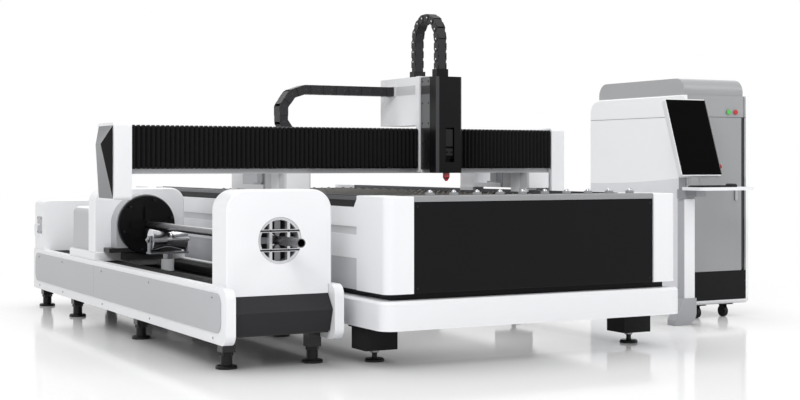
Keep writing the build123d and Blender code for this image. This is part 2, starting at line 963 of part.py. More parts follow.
# Chain brackets: a plate on the cover's side and a block on its top
height_chain_x = carriage_left + height_chain_inset
front_leg = slide_front - head_cover_depth + height_chain_setback + height_chain_thickness / 2
rear_leg = front_leg + 2 * height_chain_radius
leg_start = head_cover_top + clip_height
with BuildPart() as chain_brackets:
    with BuildSketch(Plane.YZ.offset(carriage_left)):
        with Locations((chain_y, cross_chain_upper)):
            RectangleRounded(
                cross_chain_width + 2 * bracket_margin,
                cross_chain_thickness + 2 * bracket_margin,
                bracket_margin,
            )
    extrude(amount=-bracket_plate)
    with BuildSketch(Plane.XY.offset(carriage_top)):
        with Locations((height_chain_x, rear_leg)):
            Rectangle(height_chain_width + 2 * clip_margin, height_chain_thickness + 2 * clip_margin)
    extrude(amount=leg_start - carriage_top)
chain_brackets.part.label = "chain_brackets"
export_step(chain_brackets.part, "parts/chain_brackets.step")

# Head cover: a black folded hood, open behind and below, with the chain's clip on top
head_back = slide_front - seat_gap
head_front = slide_front - head_cover_depth
with BuildPart() as head_cover:
    with BuildSketch(Plane.XY.offset(head_cover_bottom)):
        with BuildLine():
            Polyline(
                (carriage_left, head_back),
                (carriage_left, head_front + head_cover_chamfer),
                (carriage_left + head_cover_chamfer, head_front),
                (carriage_left + slide_width - head_cover_chamfer, head_front),
                (carriage_left + slide_width, head_front + head_cover_chamfer),
                (carriage_left + slide_width, head_back),
                close=True,
            )
        make_face()
    extrude(amount=head_cover_top - head_cover_bottom)
    back_and_bottom = [head_cover.faces().sort_by(Axis.Y)[-1], head_cover.faces().sort_by(Axis.Z)[0]]
    offset(amount=-head_cover_wall, openings=back_and_bottom)
    with BuildSketch(Plane.XZ.offset(-head_front)):
        with Locations((slide_x, (window_bottom + window_top) / 2)):
            Rectangle(window_width, window_top - window_bottom)
    extrude(amount=-head_cover_wall - cut_over, mode=Mode.SUBTRACT)
    with BuildSketch(Plane.XY.offset(head_cover_top)):
        with Locations((height_chain_x, front_leg)):
            Rectangle(height_chain_width + 2 * clip_margin, height_chain_thickness + 2 * clip_margin)
    extrude(amount=clip_height)
head_cover.part.label = "head_cover"
export_step(head_cover.part, "parts/head_cover.step")

# Cutting head: a back plate on the slide with the optics body, its neck and collar
nozzle_y = slide_front - head_cover_depth / 2
plate_inner = slide_width - 2 * head_cover_wall
with BuildPart() as cutting_head:
    with BuildSketch(Plane.XZ.offset(-head_back)):
        with Locations((slide_x, (head_cover_bottom + head_cover_top - head_cover_wall) / 2)):
            Rectangle(plate_inner, head_cover_top - head_cover_wall - head_cover_bottom)
    extrude(amount=head_plate)
    with BuildSketch(Plane.XY.offset(head_body_bottom)):
        with Locations((slide_x, (head_back + nozzle_y - head_body_depth / 2) / 2)):
            Rectangle(head_body_width, head_back - nozzle_y + head_body_depth / 2)
    extrude(amount=head_cover_top - head_cover_wall - head_body_bottom)
    with BuildSketch(Plane.XY.offset(nozzle_top)):
        with Locations((slide_x, nozzle_y)):
            Circle(head_neck_radius)
    extrude(amount=head_body_bottom - nozzle_top)
    with BuildSketch(Plane.XY.offset(nozzle_top)):
        with Locations((slide_x, nozzle_y)):
            Circle(head_collar_radius)
    extrude(amount=head_collar_height)
cutting_head.part.label = "cutting_head"
export_step(cutting_head.part, "parts/cutting_head.step")

# Nozzle: turned, with a cone towards its tip and a fine bore
with BuildPart() as nozzle:
    with BuildSketch(Plane.XZ.offset(-nozzle_y)):
        with BuildLine():
            Polyline(
                (slide_x + nozzle_bore, nozzle_tip),
                (slide_x + nozzle_tip_radius, nozzle_tip),
                (slide_x + nozzle_radius, nozzle_shoulder),
                (slide_x + nozzle_radius, nozzle_top),
                (slide_x + nozzle_bore, nozzle_top),
                close=True,
            )
        make_face()
    revolve(axis=Axis((slide_x, nozzle_y, 0), (0, 0, 1)))
nozzle.part.label = "nozzle"
export_step(nozzle.part, "parts/nozzle.step")

# Height drag chain: from the head's clip over a bend to the block on the carriage cover
bend_centre = height_chain_top - height_chain_radius - height_chain_thickness / 2
with BuildPart() as z_chain:
    with BuildLine() as height_path:
        Line((height_chain_x, front_leg, leg_start), (height_chain_x, front_leg, bend_centre))
        ThreePointArc(
            (height_chain_x, front_leg, bend_centre),
            (height_chain_x, front_leg + height_chain_radius, bend_centre + height_chain_radius),
            (height_chain_x, rear_leg, bend_centre),
        )
        Line((height_chain_x, rear_leg, bend_centre), (height_chain_x, rear_leg, leg_start))
    with BuildSketch(Plane.XY.offset(leg_start)):
        with Locations((height_chain_x, front_leg)):
            Rectangle(height_chain_width, height_chain_thickness)
    sweep(path=height_path.wire())
    height_links = int(height_path.wire().length / height_chain_pitch)
    height_shares = [(link + 0.5) / height_links for link in range(height_links)]
    height_planes = [Plane(height_path.wire() ^ share) for share in height_shares]
    for link_plane in height_planes:
        with BuildSketch(link_plane):
            Rectangle(2 * height_chain_width, 2 * height_chain_width)
            Rectangle(
                height_chain_width - 2 * chain_notch_depth,
                height_chain_width - 2 * chain_notch_depth,
                mode=Mode.SUBTRACT,
            )
        extrude(amount=chain_notch, mode=Mode.SUBTRACT)
z_chain.part.label = "z_chain"
export_step(z_chain.part, "parts/z_chain.step")

# Tube unit frame: two cheeks round a solid deck, on legs, with the roller's lift sleeve
deck_front = housing_front
cheek_length = tube_rear - tube_front
with BuildPart() as tube_frame:
    for side in (-1, 1):
        with BuildSketch(Plane.YZ.offset(tube_x + side * (tube_half - cheek_width / 2))):
            with Locations(((tube_front + tube_rear) / 2, (cheek_bottom + cheek_top) / 2)):
                Rectangle(cheek_length, cheek_top - cheek_bottom)
        extrude(amount=cheek_width / 2, both=True)
    front_edges = tube_frame.edges().filter_by(Axis.X).group_by(Axis.Y)[0]
    fillet(front_edges, radius=cheek_radius)
    with BuildSketch(Plane.XY.offset(slab_bottom)):
        with Locations((tube_x, (deck_front + tube_rear) / 2)):
            Rectangle(2 * (tube_half - cheek_width), tube_rear - deck_front)
    extrude(amount=deck_height - slab_bottom)
    with BuildSketch(Plane.XY.offset(leg_bottom)):
        for leg_y in leg_places:
            with Locations((tube_x - leg_x, leg_y), (tube_x + leg_x, leg_y)):
                Rectangle(leg_size, leg_size)
    extrude(amount=slab_bottom - leg_bottom)
    with BuildSketch(Plane.XY.offset(deck_height)):
        with Locations((tube_x, roller_place)):
            Circle(sleeve_radius)
            Circle(lift_radius + running_gap, mode=Mode.SUBTRACT)
    extrude(amount=sleeve_height)
tube_frame.part.label = "tube_frame"
export_step(tube_frame.part, "parts/tube_frame.step")

# Tube side panels: light sheets screwed to the outside of both cheeks
panel_rear = tube_rear - side_panel_inset
panel_front = tube_front + side_panel_inset
with BuildPart() as tube_side_panels:
    with BuildSketch(Plane.YZ.offset(tube_x - tube_half)):
        with Locations(((panel_front + panel_rear) / 2, (side_panel_bottom + side_panel_top) / 2)):
            RectangleRounded(
                panel_rear - panel_front,
                side_panel_top - side_panel_bottom,
                side_panel_radius,
            )
    extrude(amount=-side_panel_depth)
    mirror(about=Plane.YZ.offset(tube_x))
tube_side_panels.part.label = "tube_side_panels"
export_step(tube_side_panels.part, "parts/tube_side_panels.step")

# Apron: a folded sheet that closes the frame's front between the cheeks
apron_half = tube_half - cheek_width - tongue_play
with BuildPart() as tube_apron:
    with BuildSketch(Plane.YZ.offset(tube_x - apron_half)):
        with BuildLine():
            Polyline(
                (deck_front, apron_top),
                (deck_front - apron_reach, apron_fold),
                (deck_front - apron_return, apron_bottom),
                (deck_front, apron_bottom),
                (deck_front, apron_bottom + apron_sheet),
                (deck_front - apron_return + apron_sheet, apron_bottom + apron_sheet),
                (deck_front - apron_reach + apron_sheet, apron_fold),
                (deck_front, apron_top - 2 * apron_sheet),
                close=True,
            )
        make_face()
    extrude(amount=2 * apron_half)
tube_apron.part.label = "tube_apron"
export_step(tube_apron.part, "parts/tube_apron.step")

# Way covers: pleated strips over the deck's rails, before and behind the rear carriage
housing_rear = housing_front + housing_depth
base_rear = base_front + base_length
box_front = tube_rear - box_depth
with BuildPart() as way_covers:
    for strip_start, strip_end in ((housing_rear, base_front), (base_rear, box_front)):
        with BuildSketch(Plane.YZ.offset(tube_x - way_outer)):
            with BuildLine():
                Polyline(
                    (strip_start, way_bottom),
                    *pleat_points(strip_start, strip_end, way_pitch, way_top, way_top - way_depth),
                    (strip_end, way_bottom),
                    close=True,
                )
            make_face()
        extrude(amount=way_outer - way_inner)
    mirror(about=Plane.YZ.offset(tube_x))
way_covers.part.label = "way_covers"
export_step(way_covers.part, "parts/way_covers.step")

# Front chuck housing: a white arch on the cheeks with the rotor's opening
tongue_half = tube_half - cheek_width - tongue_play
with BuildPart() as front_housing:
    with BuildSketch(Plane.XZ.offset(-housing_front)) as arch:
        with Locations((tube_x, (cheek_top + housing_top) / 2)):
            Rectangle(housing_width, housing_top - cheek_top)
        fillet(arch.vertices().group_by(Axis.Y)[-1], radius=housing_radius)
    extrude(amount=-housing_depth)
    chamfer(front_housing.faces().sort_by(Axis.Y)[0].edges().group_by(Axis.Z)[1:], length=housing_edge)
    with BuildSketch(Plane.XZ.offset(-housing_front)):
        with Locations((tube_x, (tongue_bottom + cheek_top) / 2)):
            Rectangle(2 * tongue_half, cheek_top - tongue_bottom)
    extrude(amount=-housing_depth)
    with BuildSketch(Plane.XZ.offset(cut_over - housing_front)):
        with Locations((tube_x, axis_height)):
            Circle(opening_radius)
    extrude(amount=-housing_depth - 2 * cut_over, mode=Mode.SUBTRACT)
front_housing.part.label = "front_housing"
export_step(front_housing.part, "parts/front_housing.step")

# Front rotor: a ring in the housing with four crossing guide bars on its face
rotor_front = housing_front + rotor_inset
rotor_radius = opening_radius - running_gap
ring_inner = opening_radius - rotor_wall
with BuildPart() as front_rotor:
    with BuildSketch(Plane.XZ.offset(-rotor_front)):
        with Locations((tube_x, axis_height)):
            Circle(rotor_radius)
            Circle(ring_inner, mode=Mode.SUBTRACT)
    extrude(amount=2 * rotor_inset - housing_depth)
    with BuildSketch(Plane.XZ.offset(-rotor_front)):
        with Locations((tube_x, axis_height)):
            with Locations((0, -bar_offset), (0, bar_offset)):
                Rectangle(2 * opening_radius, bar_width)
            with Locations((-bar_offset, 0), (bar_offset, 0)):
                Rectangle(bar_width, 2 * opening_radius)
            Circle(ring_inner + rotor_wall / 2, mode=Mode.INTERSECT)
    extrude(amount=-bar_depth)
front_rotor.part.label = "front_rotor"
export_step(front_rotor.part, "parts/front_rotor.step")

# Front jaws: four blocks with round noses that guide the tube
jaw_start = stock_radius + seat_gap + jaw_roller_radius
jaw_end = ring_inner - seat_gap
with BuildPart() as front_jaws:
    with BuildSketch(Plane.XZ.offset(-rotor_front - bar_depth)):
        with Locations((tube_x, axis_height)):
            with PolarLocations((jaw_start + jaw_end) / 2, 4):
                Rectangle(jaw_end - jaw_start, jaw_width)
            with PolarLocations(jaw_start, 4):
                Circle(jaw_roller_radius)
            Circle(jaw_end, mode=Mode.INTERSECT)
    extrude(amount=-jaw_depth)
front_jaws.part.label = "front_jaws"
export_step(front_jaws.part, "parts/front_jaws.step")

# Rear carriage: a plate on four trucks, with a nose under the boss and skirts for the way covers
base_y = base_front + base_length / 2
deck_rail_top = deck_height + tube_rail_height
truck_y = base_length / 2 - base_truck_inset - base_truck_length / 2
with BuildPart() as rear_carriage:
    with BuildSketch(Plane.XY.offset(base_bottom)):
        with Locations((tube_x, base_y)):
            Rectangle(2 * base_half, base_length)
        with Locations((tube_x, base_front - base_nose / 2)):
            Rectangle(2 * base_nose_half, base_nose)
    extrude(amount=base_top - base_bottom)
    chamfer(rear_carriage.edges().group_by(Axis.Z)[-1], length=base_edge)
    with BuildSketch(Plane.XY.offset(way_bottom)):
        with Locations((tube_x, base_y)):
            with GridLocations(0, base_length - base_skirt, 1, 2):
                Rectangle(2 * tongue_half, base_skirt)
    extrude(amount=base_bottom - way_bottom)
    with BuildSketch(Plane.XY.offset(deck_rail_top - base_truck_grip)):
        with Locations((tube_x, base_y)):
            with GridLocations(2 * tube_rail_offset, 2 * truck_y, 2, 2):
                Rectangle(base_truck_width, base_truck_length)
    extrude(amount=base_bottom - deck_rail_top + base_truck_grip)
    with BuildSketch(Plane.XY.offset(deck_height)):
        with Locations((tube_x, base_y)):
            with GridLocations(2 * tube_rail_offset, 0, 2, 1):
                Rectangle(tube_rail_width + 2 * seat_gap, base_length + cut_over)
    extrude(amount=tube_rail_height + seat_gap, mode=Mode.SUBTRACT)
rear_carriage.part.label = "rear_carriage"
export_step(rear_carriage.part, "parts/rear_carriage.step")

# Rear boss: an arched bearing block on small feet
boss_front = disc_front + disc_thickness + boss_gap
with BuildPart() as rear_boss:
    with BuildSketch(Plane.XZ.offset(-boss_front)):
        with Locations((tube_x, axis_height)):
            Circle(boss_half)
        with Locations((tube_x, (base_top + axis_height) / 2)):
            Rectangle(2 * boss_half, axis_height - base_top)
        with Locations((tube_x, base_top + boss_foot_height / 2)):
            Rectangle(2 * (boss_half + boss_foot), boss_foot_height)
        with Locations((tube_x, base_top - axis_height)):
            Rectangle(2 * (boss_half + boss_foot + cut_over), 2 * axis_height, mode=Mode.SUBTRACT)
        with Locations((tube_x, axis_height)):
            Circle(hub_radius + running_gap, mode=Mode.SUBTRACT)
    extrude(amount=-boss_depth)
rear_boss.part.label = "rear_boss"
export_step(rear_boss.part, "parts/rear_boss.step")

# Rear housing: the white arch behind the boss
rear_front = boss_front + boss_depth
with BuildPart() as rear_housing:
    with BuildSketch(Plane.XZ.offset(-rear_front)) as rear_arch:
        with Locations((tube_x, (base_top + rear_housing_top) / 2)):
            Rectangle(2 * base_half, rear_housing_top - base_top)
        fillet(rear_arch.vertices().group_by(Axis.Y)[-1], radius=rear_housing_radius)
    extrude(amount=-rear_housing_depth)
    chamfer(rear_housing.faces().sort_by(Axis.Y)[0].edges().group_by(Axis.Z)[1:], length=housing_edge)
rear_housing.part.label = "rear_housing"
export_step(rear_housing.part, "parts/rear_housing.step")

# Motor cover: the lower hood over the rear chuck's drive
hood_front = rear_front + rear_housing_depth
with BuildPart() as motor_cover:
    with BuildSketch(Plane.XZ.offset(-hood_front)) as hood:
        with Locations((tube_x, (base_top + motor_cover_top) / 2)):
            Rectangle(2 * motor_cover_half, motor_cover_top - base_top)
        fillet(hood.vertices().group_by(Axis.Y)[-1], radius=motor_cover_radius)
    extrude(amount=hood_front - base_rear)
motor_cover.part.label = "motor_cover"
export_step(motor_cover.part, "parts/motor_cover.step")

# Rear disc: the turning plate with its shaft and four clamp jaws
with BuildPart() as rear_disc:
    with BuildSketch(Plane.XZ.offset(-disc_front)):
        with Locations((tube_x, axis_height)):
            Circle(disc_radius)
    extrude(amount=-disc_thickness)
    chamfer(rear_disc.faces().sort_by(Axis.Y)[0].edges(), length=disc_edge)
    with BuildSketch(Plane.XZ.offset(-disc_front - disc_thickness)):
        with Locations((tube_x, axis_height)):
            Circle(hub_radius)
    extrude(amount=-hub_length)
    with BuildSketch(Plane.XZ.offset(-disc_front)):
        with Locations((tube_x, axis_height)):
            with PolarLocations((stock_radius + seat_gap + clamp_reach) / 2, 4):
                Rectangle(clamp_reach - stock_radius - seat_gap, clamp_width)
            Circle(stock_radius + seat_gap, mode=Mode.SUBTRACT)
    extrude(amount=clamp_depth)
    with BuildSketch(Plane.XZ.offset(-disc_front)):
        with Locations((tube_x, axis_height)):
            Circle(disc_bore)
    extrude(amount=-disc_thickness, mode=Mode.SUBTRACT)
rear_disc.part.label = "rear_disc"
export_step(rear_disc.part, "parts/rear_disc.step")

# End box: closes the tube unit's rear, with a grip on its side
with BuildPart() as end_box:
    with BuildSketch(Plane.XZ.offset(-box_front)) as box_face:
        with Locations((tube_x, (cheek_top + box_top) / 2)):
            Rectangle(2 * box_half, box_top - cheek_top)
        fillet(box_face.vertices().group_by(Axis.Y)[-1], radius=box_radius)
    extrude(amount=-box_depth)
    with BuildSketch(Plane.XZ.offset(-box_front)):
        with Locations((tube_x, (tongue_bottom + cheek_top) / 2)):
            Rectangle(2 * tongue_half, cheek_top - tongue_bottom)
    extrude(amount=-box_depth)
    with BuildSketch(Plane.YZ.offset(tube_x - box_half)):
        with Locations((box_front + box_depth / 2, cheek_top + grip_rise)):
            Rectangle(grip_width, grip_length)
            Rectangle(grip_width + cut_over, grip_length - 2 * grip_width, mode=Mode.SUBTRACT)
    extrude(amount=-grip_reach)
    with BuildSketch(Plane.YZ.offset(tube_x - box_half - grip_reach)):
        with Locations((box_front + box_depth / 2, cheek_top + grip_rise)):
            Rectangle(grip_width, grip_length)
    extrude(amount=-grip_width)
end_box.part.label = "end_box"
export_step(end_box.part, "parts/end_box.step")

# Roller bracket: a fork on a lift post that carries the waisted roller
roller_z = axis_height - roller_drop
fork_half = roller_half + roller_side_gap
with BuildPart() as roller_bracket:
    with BuildSketch(Plane.XY.offset(fork_base)):
        with Locations((tube_x, roller_place)):
            Rectangle(2 * (fork_half + fork_wall), fork_width)
    extrude(amount=fork_sheet)
    with BuildSketch(Plane.XY.offset(fork_base)):
        with Locations((tube_x - fork_half - fork_wall / 2, roller_place)):
            Rectangle(fork_wall, fork_arm_width)
        with Locations((tube_x + fork_half + fork_wall / 2, roller_place)):
            Rectangle(fork_wall, fork_arm_width)
    extrude(amount=fork_top - fork_base)
    fillet(roller_bracket.edges().filter_by(Axis.X).group_by(Axis.Z)[-1], radius=fork_arm_width / 4)
    with BuildSketch(Plane.XY.offset(fork_base)):
        with Locations((tube_x, roller_place)):
            Circle(lift_radius)
    extrude(amount=-lift_length)
    with BuildSketch(Plane.YZ.offset(tube_x - fork_half - fork_wall - cut_over)):
        with Locations((roller_place, roller_z)):
            Circle(roller_pin + running_gap)
    extrude(amount=2 * (fork_half + fork_wall + cut_over), mode=Mode.SUBTRACT)
roller_bracket.part.label = "roller_bracket"
export_step(roller_bracket.part, "parts/roller_bracket.step")

# Roller: turned with a waist that centres the tube, on its own pins
with BuildPart() as roller:
    with BuildSketch(Plane.XY.offset(roller_z)):
        with BuildLine():
            Polyline(
                (tube_x - fork_half - fork_wall, roller_place),
                (tube_x - fork_half - fork_wall, roller_place + roller_pin),
                (tube_x - roller_half, roller_place + roller_pin),
                (tube_x - roller_half, roller_place + roller_radius),
                (tube_x - roller_waist_half, roller_place + roller_waist),
                (tube_x + roller_waist_half, roller_place + roller_waist),
                (tube_x + roller_half, roller_place + roller_radius),
                (tube_x + roller_half, roller_place + roller_pin),
                (tube_x + fork_half + fork_wall, roller_place + roller_pin),
                (tube_x + fork_half + fork_wall, roller_place),
                close=True,
            )
        make_face()
    revolve(axis=Axis((tube_x, roller_place, roller_z), (1, 0, 0)))
roller.part.label = "roller"
export_step(roller.part, "parts/roller.step")

# Work tube: the round stock that the chucks turn
with BuildPart() as work_tube:
    with BuildSketch(Plane.XZ.offset(-stock_front)):
        with Locations((tube_x, axis_height)):
            Circle(stock_radius)
            Circle(stock_bore, mode=Mode.SUBTRACT)
    extrude(amount=stock_front - stock_rear)
work_tube.part.label = "work_tube"
export_step(work_tube.part, "parts/work_tube.step")

# Cabinet wrap: both side panels and the bottom pan, folded from one sheet
cabinet_left = cabinet_x - cabinet_width / 2
cabinet_right = cabinet_x + cabinet_width / 2
inner_left = cabinet_left + cabinet_sheet
inner_width = cabinet_width - 2 * cabinet_sheet
pan_top = cabinet_bottom + cabinet_pan
body_front = cabinet_front + door_thickness + door_gap
body_rear = cabinet_front + cabinet_depth - cabinet_wall
with BuildPart() as cabinet_sides:
    with BuildSketch(Plane.YZ.offset(cabinet_left)) as wrap:
        with Locations((cabinet_front + cabinet_depth / 2, (cabinet_bottom + cabinet_side_top) / 2)):
            Rectangle(cabinet_depth, cabinet_side_top - cabinet_bottom)
        fillet(wrap.vertices().group_by(Axis.Y)[-1].sort_by(Axis.X)[-1], radius=cabinet_rear_radius)
        fillet(wrap.vertices().group_by(Axis.Y)[0], radius=cabinet_front_radius)
    extrude(amount=cabinet_width)
    with BuildSketch(Plane.XY.offset(pan_top)):
        with Locations((cabinet_x, cabinet_front + cabinet_depth / 2)):
            Rectangle(inner_width, cabinet_depth + cut_over)
    extrude(amount=cabinet_top - pan_top, mode=Mode.SUBTRACT)
    fillet(cabinet_sides.faces().sort_by(Axis.X)[0].edges(), radius=cabinet_sheet / 3)
    fillet(cabinet_sides.faces().sort_by(Axis.X)[-1].edges(), radius=cabinet_sheet / 3)
cabinet_sides.part.label = "cabinet_sides"
export_step(cabinet_sides.part, "parts/cabinet_sides.step")

# Cabinet body: the black inner box, open to the front above the kick plate
hinge_x = inner_left + hinge_gap + hinge_inset
hinge_y = cabinet_front + door_thickness / 2
with BuildPart() as cabinet_body:
    with BuildSketch(Plane.YZ.offset(inner_left)) as body_side:
        with Locations(((body_front + body_rear) / 2, (pan_top + cabinet_side_top) / 2)):
            Rectangle(body_rear - body_front, cabinet_side_top - pan_top)
        fillet(body_side.vertices().group_by(Axis.Y)[-1].sort_by(Axis.X)[-1], radius=cabinet_rear_radius)
    extrude(amount=inner_width)
    with BuildSketch(Plane.XZ.offset(-body_front)):
        with Locations((cabinet_x, (door_bottom + fascia_bottom) / 2)):
            Rectangle(inner_width - 2 * door_reveal, fascia_bottom - door_bottom)
    extrude(amount=body_front - body_rear + cabinet_wall, mode=Mode.SUBTRACT)
    with BuildSketch(Plane.XZ.offset(-body_front)):
        with Locations((cabinet_x, (pan_top + door_bottom) / 2)):
            Rectangle(inner_width, door_bottom - pan_top - 2 * door_gap)
    extrude(amount=door_gap + door_thickness)
    with BuildSketch(Plane.XY.offset(door_bottom - door_gap)):
        with Locations((hinge_x, hinge_y)):
            Circle(pin_radius)
    extrude(amount=pin_length)
    with BuildSketch(Plane.XZ.offset(-body_front)):
        with Locations(
            (cabinet_right - start_place, button_height),
            (cabinet_right - stop_place, button_height),
        ):
            Circle(button_radius)
    extrude(amount=-fascia_depth, mode=Mode.SUBTRACT)
cabinet_body.part.label = "cabinet_body"
export_step(cabinet_body.part, "parts/cabinet_body.step")

# Cabinet cap: the gray hood with the fascia that holds the buttons
cap_depth = cabinet_depth - cap_inset - cap_rear_inset
fascia_width = cabinet_right - cap_right_inset - inner_left
with BuildPart() as cabinet_cap:
    with BuildSketch(Plane.YZ.offset(cabinet_left + cap_inset)) as cap_side:
        with Locations((cabinet_front + cap_inset + cap_depth / 2, (cabinet_side_top + cabinet_top) / 2)):
            Rectangle(cap_depth, cabinet_top - cabinet_side_top)
        fillet(cap_side.vertices().group_by(Axis.Y)[-1], radius=cap_radius)
    extrude(amount=cabinet_width - cap_inset - cap_right_inset)
    with BuildSketch(Plane.XZ.offset(-body_front)):
        with Locations((inner_left + fascia_width / 2, (fascia_bottom + cabinet_side_top) / 2)):
            Rectangle(fascia_width, cabinet_side_top - fascia_bottom)
    extrude(amount=body_front - cabinet_front)
    with BuildSketch(Plane.XZ.offset(-body_front)):
        with Locations(
            (cabinet_right - start_place, button_height),
            (cabinet_right - stop_place, button_height),
        ):
            Circle(button_stem + running_gap)
    extrude(amount=fascia_depth + cut_over, mode=Mode.SUBTRACT)
    with BuildSketch(Plane.XY.offset(fascia_bottom)):
        with Locations((hinge_x, hinge_y)):
            Circle(pin_radius)
    extrude(amount=-pin_length)
cabinet_cap.part.label = "cabinet_cap"
export_step(cabinet_cap.part, "parts/cabinet_cap.step")

# Cabinet door: hung on two pins at its left edge
door_left = inner_left + hinge_gap
door_right = cabinet_right - cabinet_sheet - door_reveal
door_top = fascia_bottom - door_gap
handle_x = cabinet_right - handle_place
handle_z = handle_bottom + handle_height / 2
with BuildPart() as cabinet_door:
    with BuildSketch(Plane.XZ.offset(-cabinet_front)) as door_face:
        with Locations(((door_left + door_right) / 2, (door_bottom + door_top) / 2)):
            Rectangle(door_right - door_left, door_top - door_bottom)
        fillet(door_face.vertices().group_by(Axis.Y)[0].sort_by(Axis.X)[-1], radius=door_radius)
        with Locations((handle_x, handle_z)):
            Circle(handle_stem_radius + running_gap, mode=Mode.SUBTRACT)
    extrude(amount=-door_thickness)
    with BuildSketch(Plane.XY.offset(door_bottom)):
        with Locations((hinge_x, hinge_y)):
            Circle(pin_radius + running_gap)
    extrude(amount=pin_hole, mode=Mode.SUBTRACT)
    with BuildSketch(Plane.XY.offset(door_top)):
        with Locations((hinge_x, hinge_y)):
            Circle(pin_radius + running_gap)
    extrude(amount=-pin_hole, mode=Mode.SUBTRACT)
cabinet_door.part.label = "cabinet_door"
export_step(cabinet_door.part, "parts/cabinet_door.step")

# Door handle: a turning grip on a stem through the door
with BuildPart() as door_handle:
    with BuildSketch(Plane.XZ.offset(seat_gap - cabinet_front)):
        with Locations((handle_x, handle_z)):
            RectangleRounded(handle_width, handle_height, handle_width / 3)
    extrude(amount=handle_depth)
    fillet(door_handle.faces().sort_by(Axis.Y)[0].edges(), radius=handle_edge)
    with BuildSketch(Plane.XZ.offset(seat_gap - cabinet_front)):
        with Locations((handle_x, handle_z)):
            Circle(handle_stem_radius)
    extrude(amount=-handle_stem)
door_handle.part.label = "door_handle"
export_step(door_handle.part, "parts/door_handle.step")

# Push buttons: each a round cap on a stem through the fascia
for button_name, place in (("start_button", start_place), ("stop_button", stop_place)):
    with BuildPart() as push_button:
        with BuildSketch(Plane.XZ.offset(button_travel + seat_gap - cabinet_front)):
            with Locations((cabinet_right - place, button_height)):
                Circle(button_radius)
        extrude(amount=button_proud - button_travel)
        fillet(push_button.faces().sort_by(Axis.Y)[0].edges(), radius=button_edge)
        with BuildSketch(Plane.XZ.offset(button_travel + seat_gap - cabinet_front)):
            with Locations((cabinet_right - place, button_height)):
                Circle(button_stem)
        extrude(amount=-fascia_depth)
    push_button.part.label = button_name
    export_step(push_button.part, f"parts/{button_name}.step")

# Casters: a plate and fork round each wheel
caster_x = cabinet_width / 2 - caster_inset_x
caster_y = cabinet_depth / 2 - caster_inset_y
caster_half = caster_width / 2 + caster_fork_wall / 2 + seat_gap
caster_fork_height = cabinet_bottom - caster_radius + 2 * caster_axle
with BuildPart() as casters:
    with Locations((cabinet_x, cabinet_front + cabinet_depth / 2)):
        with GridLocations(2 * caster_x, 2 * caster_y, 2, 2):
            with Locations((0, 0, cabinet_bottom - caster_plate_height / 2)):
                Box(caster_plate, caster_plate, caster_plate_height)
            for side in (-1, 1):
                with Locations((side * caster_half, 0, cabinet_bottom - caster_fork_height / 2)):
                    Box(caster_fork_wall, caster_radius, caster_fork_height)
            with Locations((0, 0, caster_radius)):
                Cylinder(caster_radius, caster_width, rotation=(0, 90, 0))
            with Locations((0, 0, caster_radius)):
                Cylinder(caster_axle, 2 * caster_half + caster_fork_wall, rotation=(0, 90, 0))
casters.part.label = "casters"
export_step(casters.part, "parts/casters.step")

# Console stand: a square post in a foot that curves under it and runs toward the bed
console_x = bed_x + console_offset
foot_right = console_x + post_size_x / 2 + stand_foot_margin
foot_depth = post_size_y + 2 * stand_foot_margin
with BuildPart() as console_stand:
    with BuildSketch(Plane.XZ.offset(-console_place - foot_depth / 2)):
        with BuildLine():
            Polyline(
                (foot_right, 0),
                (foot_right, stand_foot_height),
                (console_x - post_size_x / 2 - stand_foot_margin, stand_foot_height),
                (foot_right - stand_foot_length, stand_toe),
                (foot_right - stand_foot_length, 0),
                close=True,
            )
        make_face()
    extrude(amount=foot_depth)
    outer_edge = console_stand.edges().filter_by(Axis.Y).group_by(Axis.Z)[0].sort_by(Axis.X)[-1]
    fillet(outer_edge, radius=stand_foot_radius)
    with BuildSketch(Plane.XY.offset(stand_foot_height)):
        with Locations((console_x, console_place)):
            RectangleRounded(post_size_x, post_size_y, post_edge)
    extrude(amount=stand_height - stand_foot_height)
    with BuildSketch(Plane.XY.offset(stand_height)):
        with Locations((console_x, console_place)):
            Circle(spigot_radius)
    extrude(amount=spigot_length)
console_stand.part.label = "console_stand"
export_step(console_stand.part, "parts/console_stand.step")

# Console hub: turns on the spigot, carries the tray on an arm and the screen between ears
hub_top = hub_bottom + hub_height
tray_bottom = tray_top - tray_thickness
tray_rear = console_place - tray_forward + tray_depth
tilt_y = console_place - tilt_forward
ear_span = lug_half + seat_gap + ear_wall / 2
with BuildPart() as console_hub:
    with BuildSketch(Plane.XY.offset(hub_bottom)):
        with Locations((console_x, console_place)):
            Circle(hub_radius_outer)
    extrude(amount=hub_height)
    with BuildSketch(Plane.XY.offset(tray_bottom - arm_height)):
        with Locations((console_x, console_place - (hub_radius_outer + arm_reach) / 2)):
            Rectangle(arm_width, hub_radius_outer + arm_reach)
    extrude(amount=arm_height)
    with BuildSketch(Plane.XY.offset(hub_bottom)):
        with Locations((console_x, console_place)):
            Circle(spigot_radius + running_gap)
    extrude(amount=spigot_length, mode=Mode.SUBTRACT)
    for side in (-1, 1):
        with BuildSketch(Plane.YZ.offset(console_x + side * ear_span)):
            with Locations(((tilt_y + console_place) / 2, (hub_top + tilt_height) / 2)):
                Rectangle(tilt_forward, tilt_height - hub_top)
            with Locations((tilt_y, tilt_height)):
                Circle(ear_radius)
        extrude(amount=ear_wall / 2, both=True)
    with BuildSketch(Plane.YZ.offset(console_x)):
        with Locations((tilt_y, tilt_height)):
            Circle(tilt_pin_radius)
    extrude(amount=ear_span, both=True)
console_hub.part.label = "console_hub"
export_step(console_hub.part, "parts/console_hub.step")

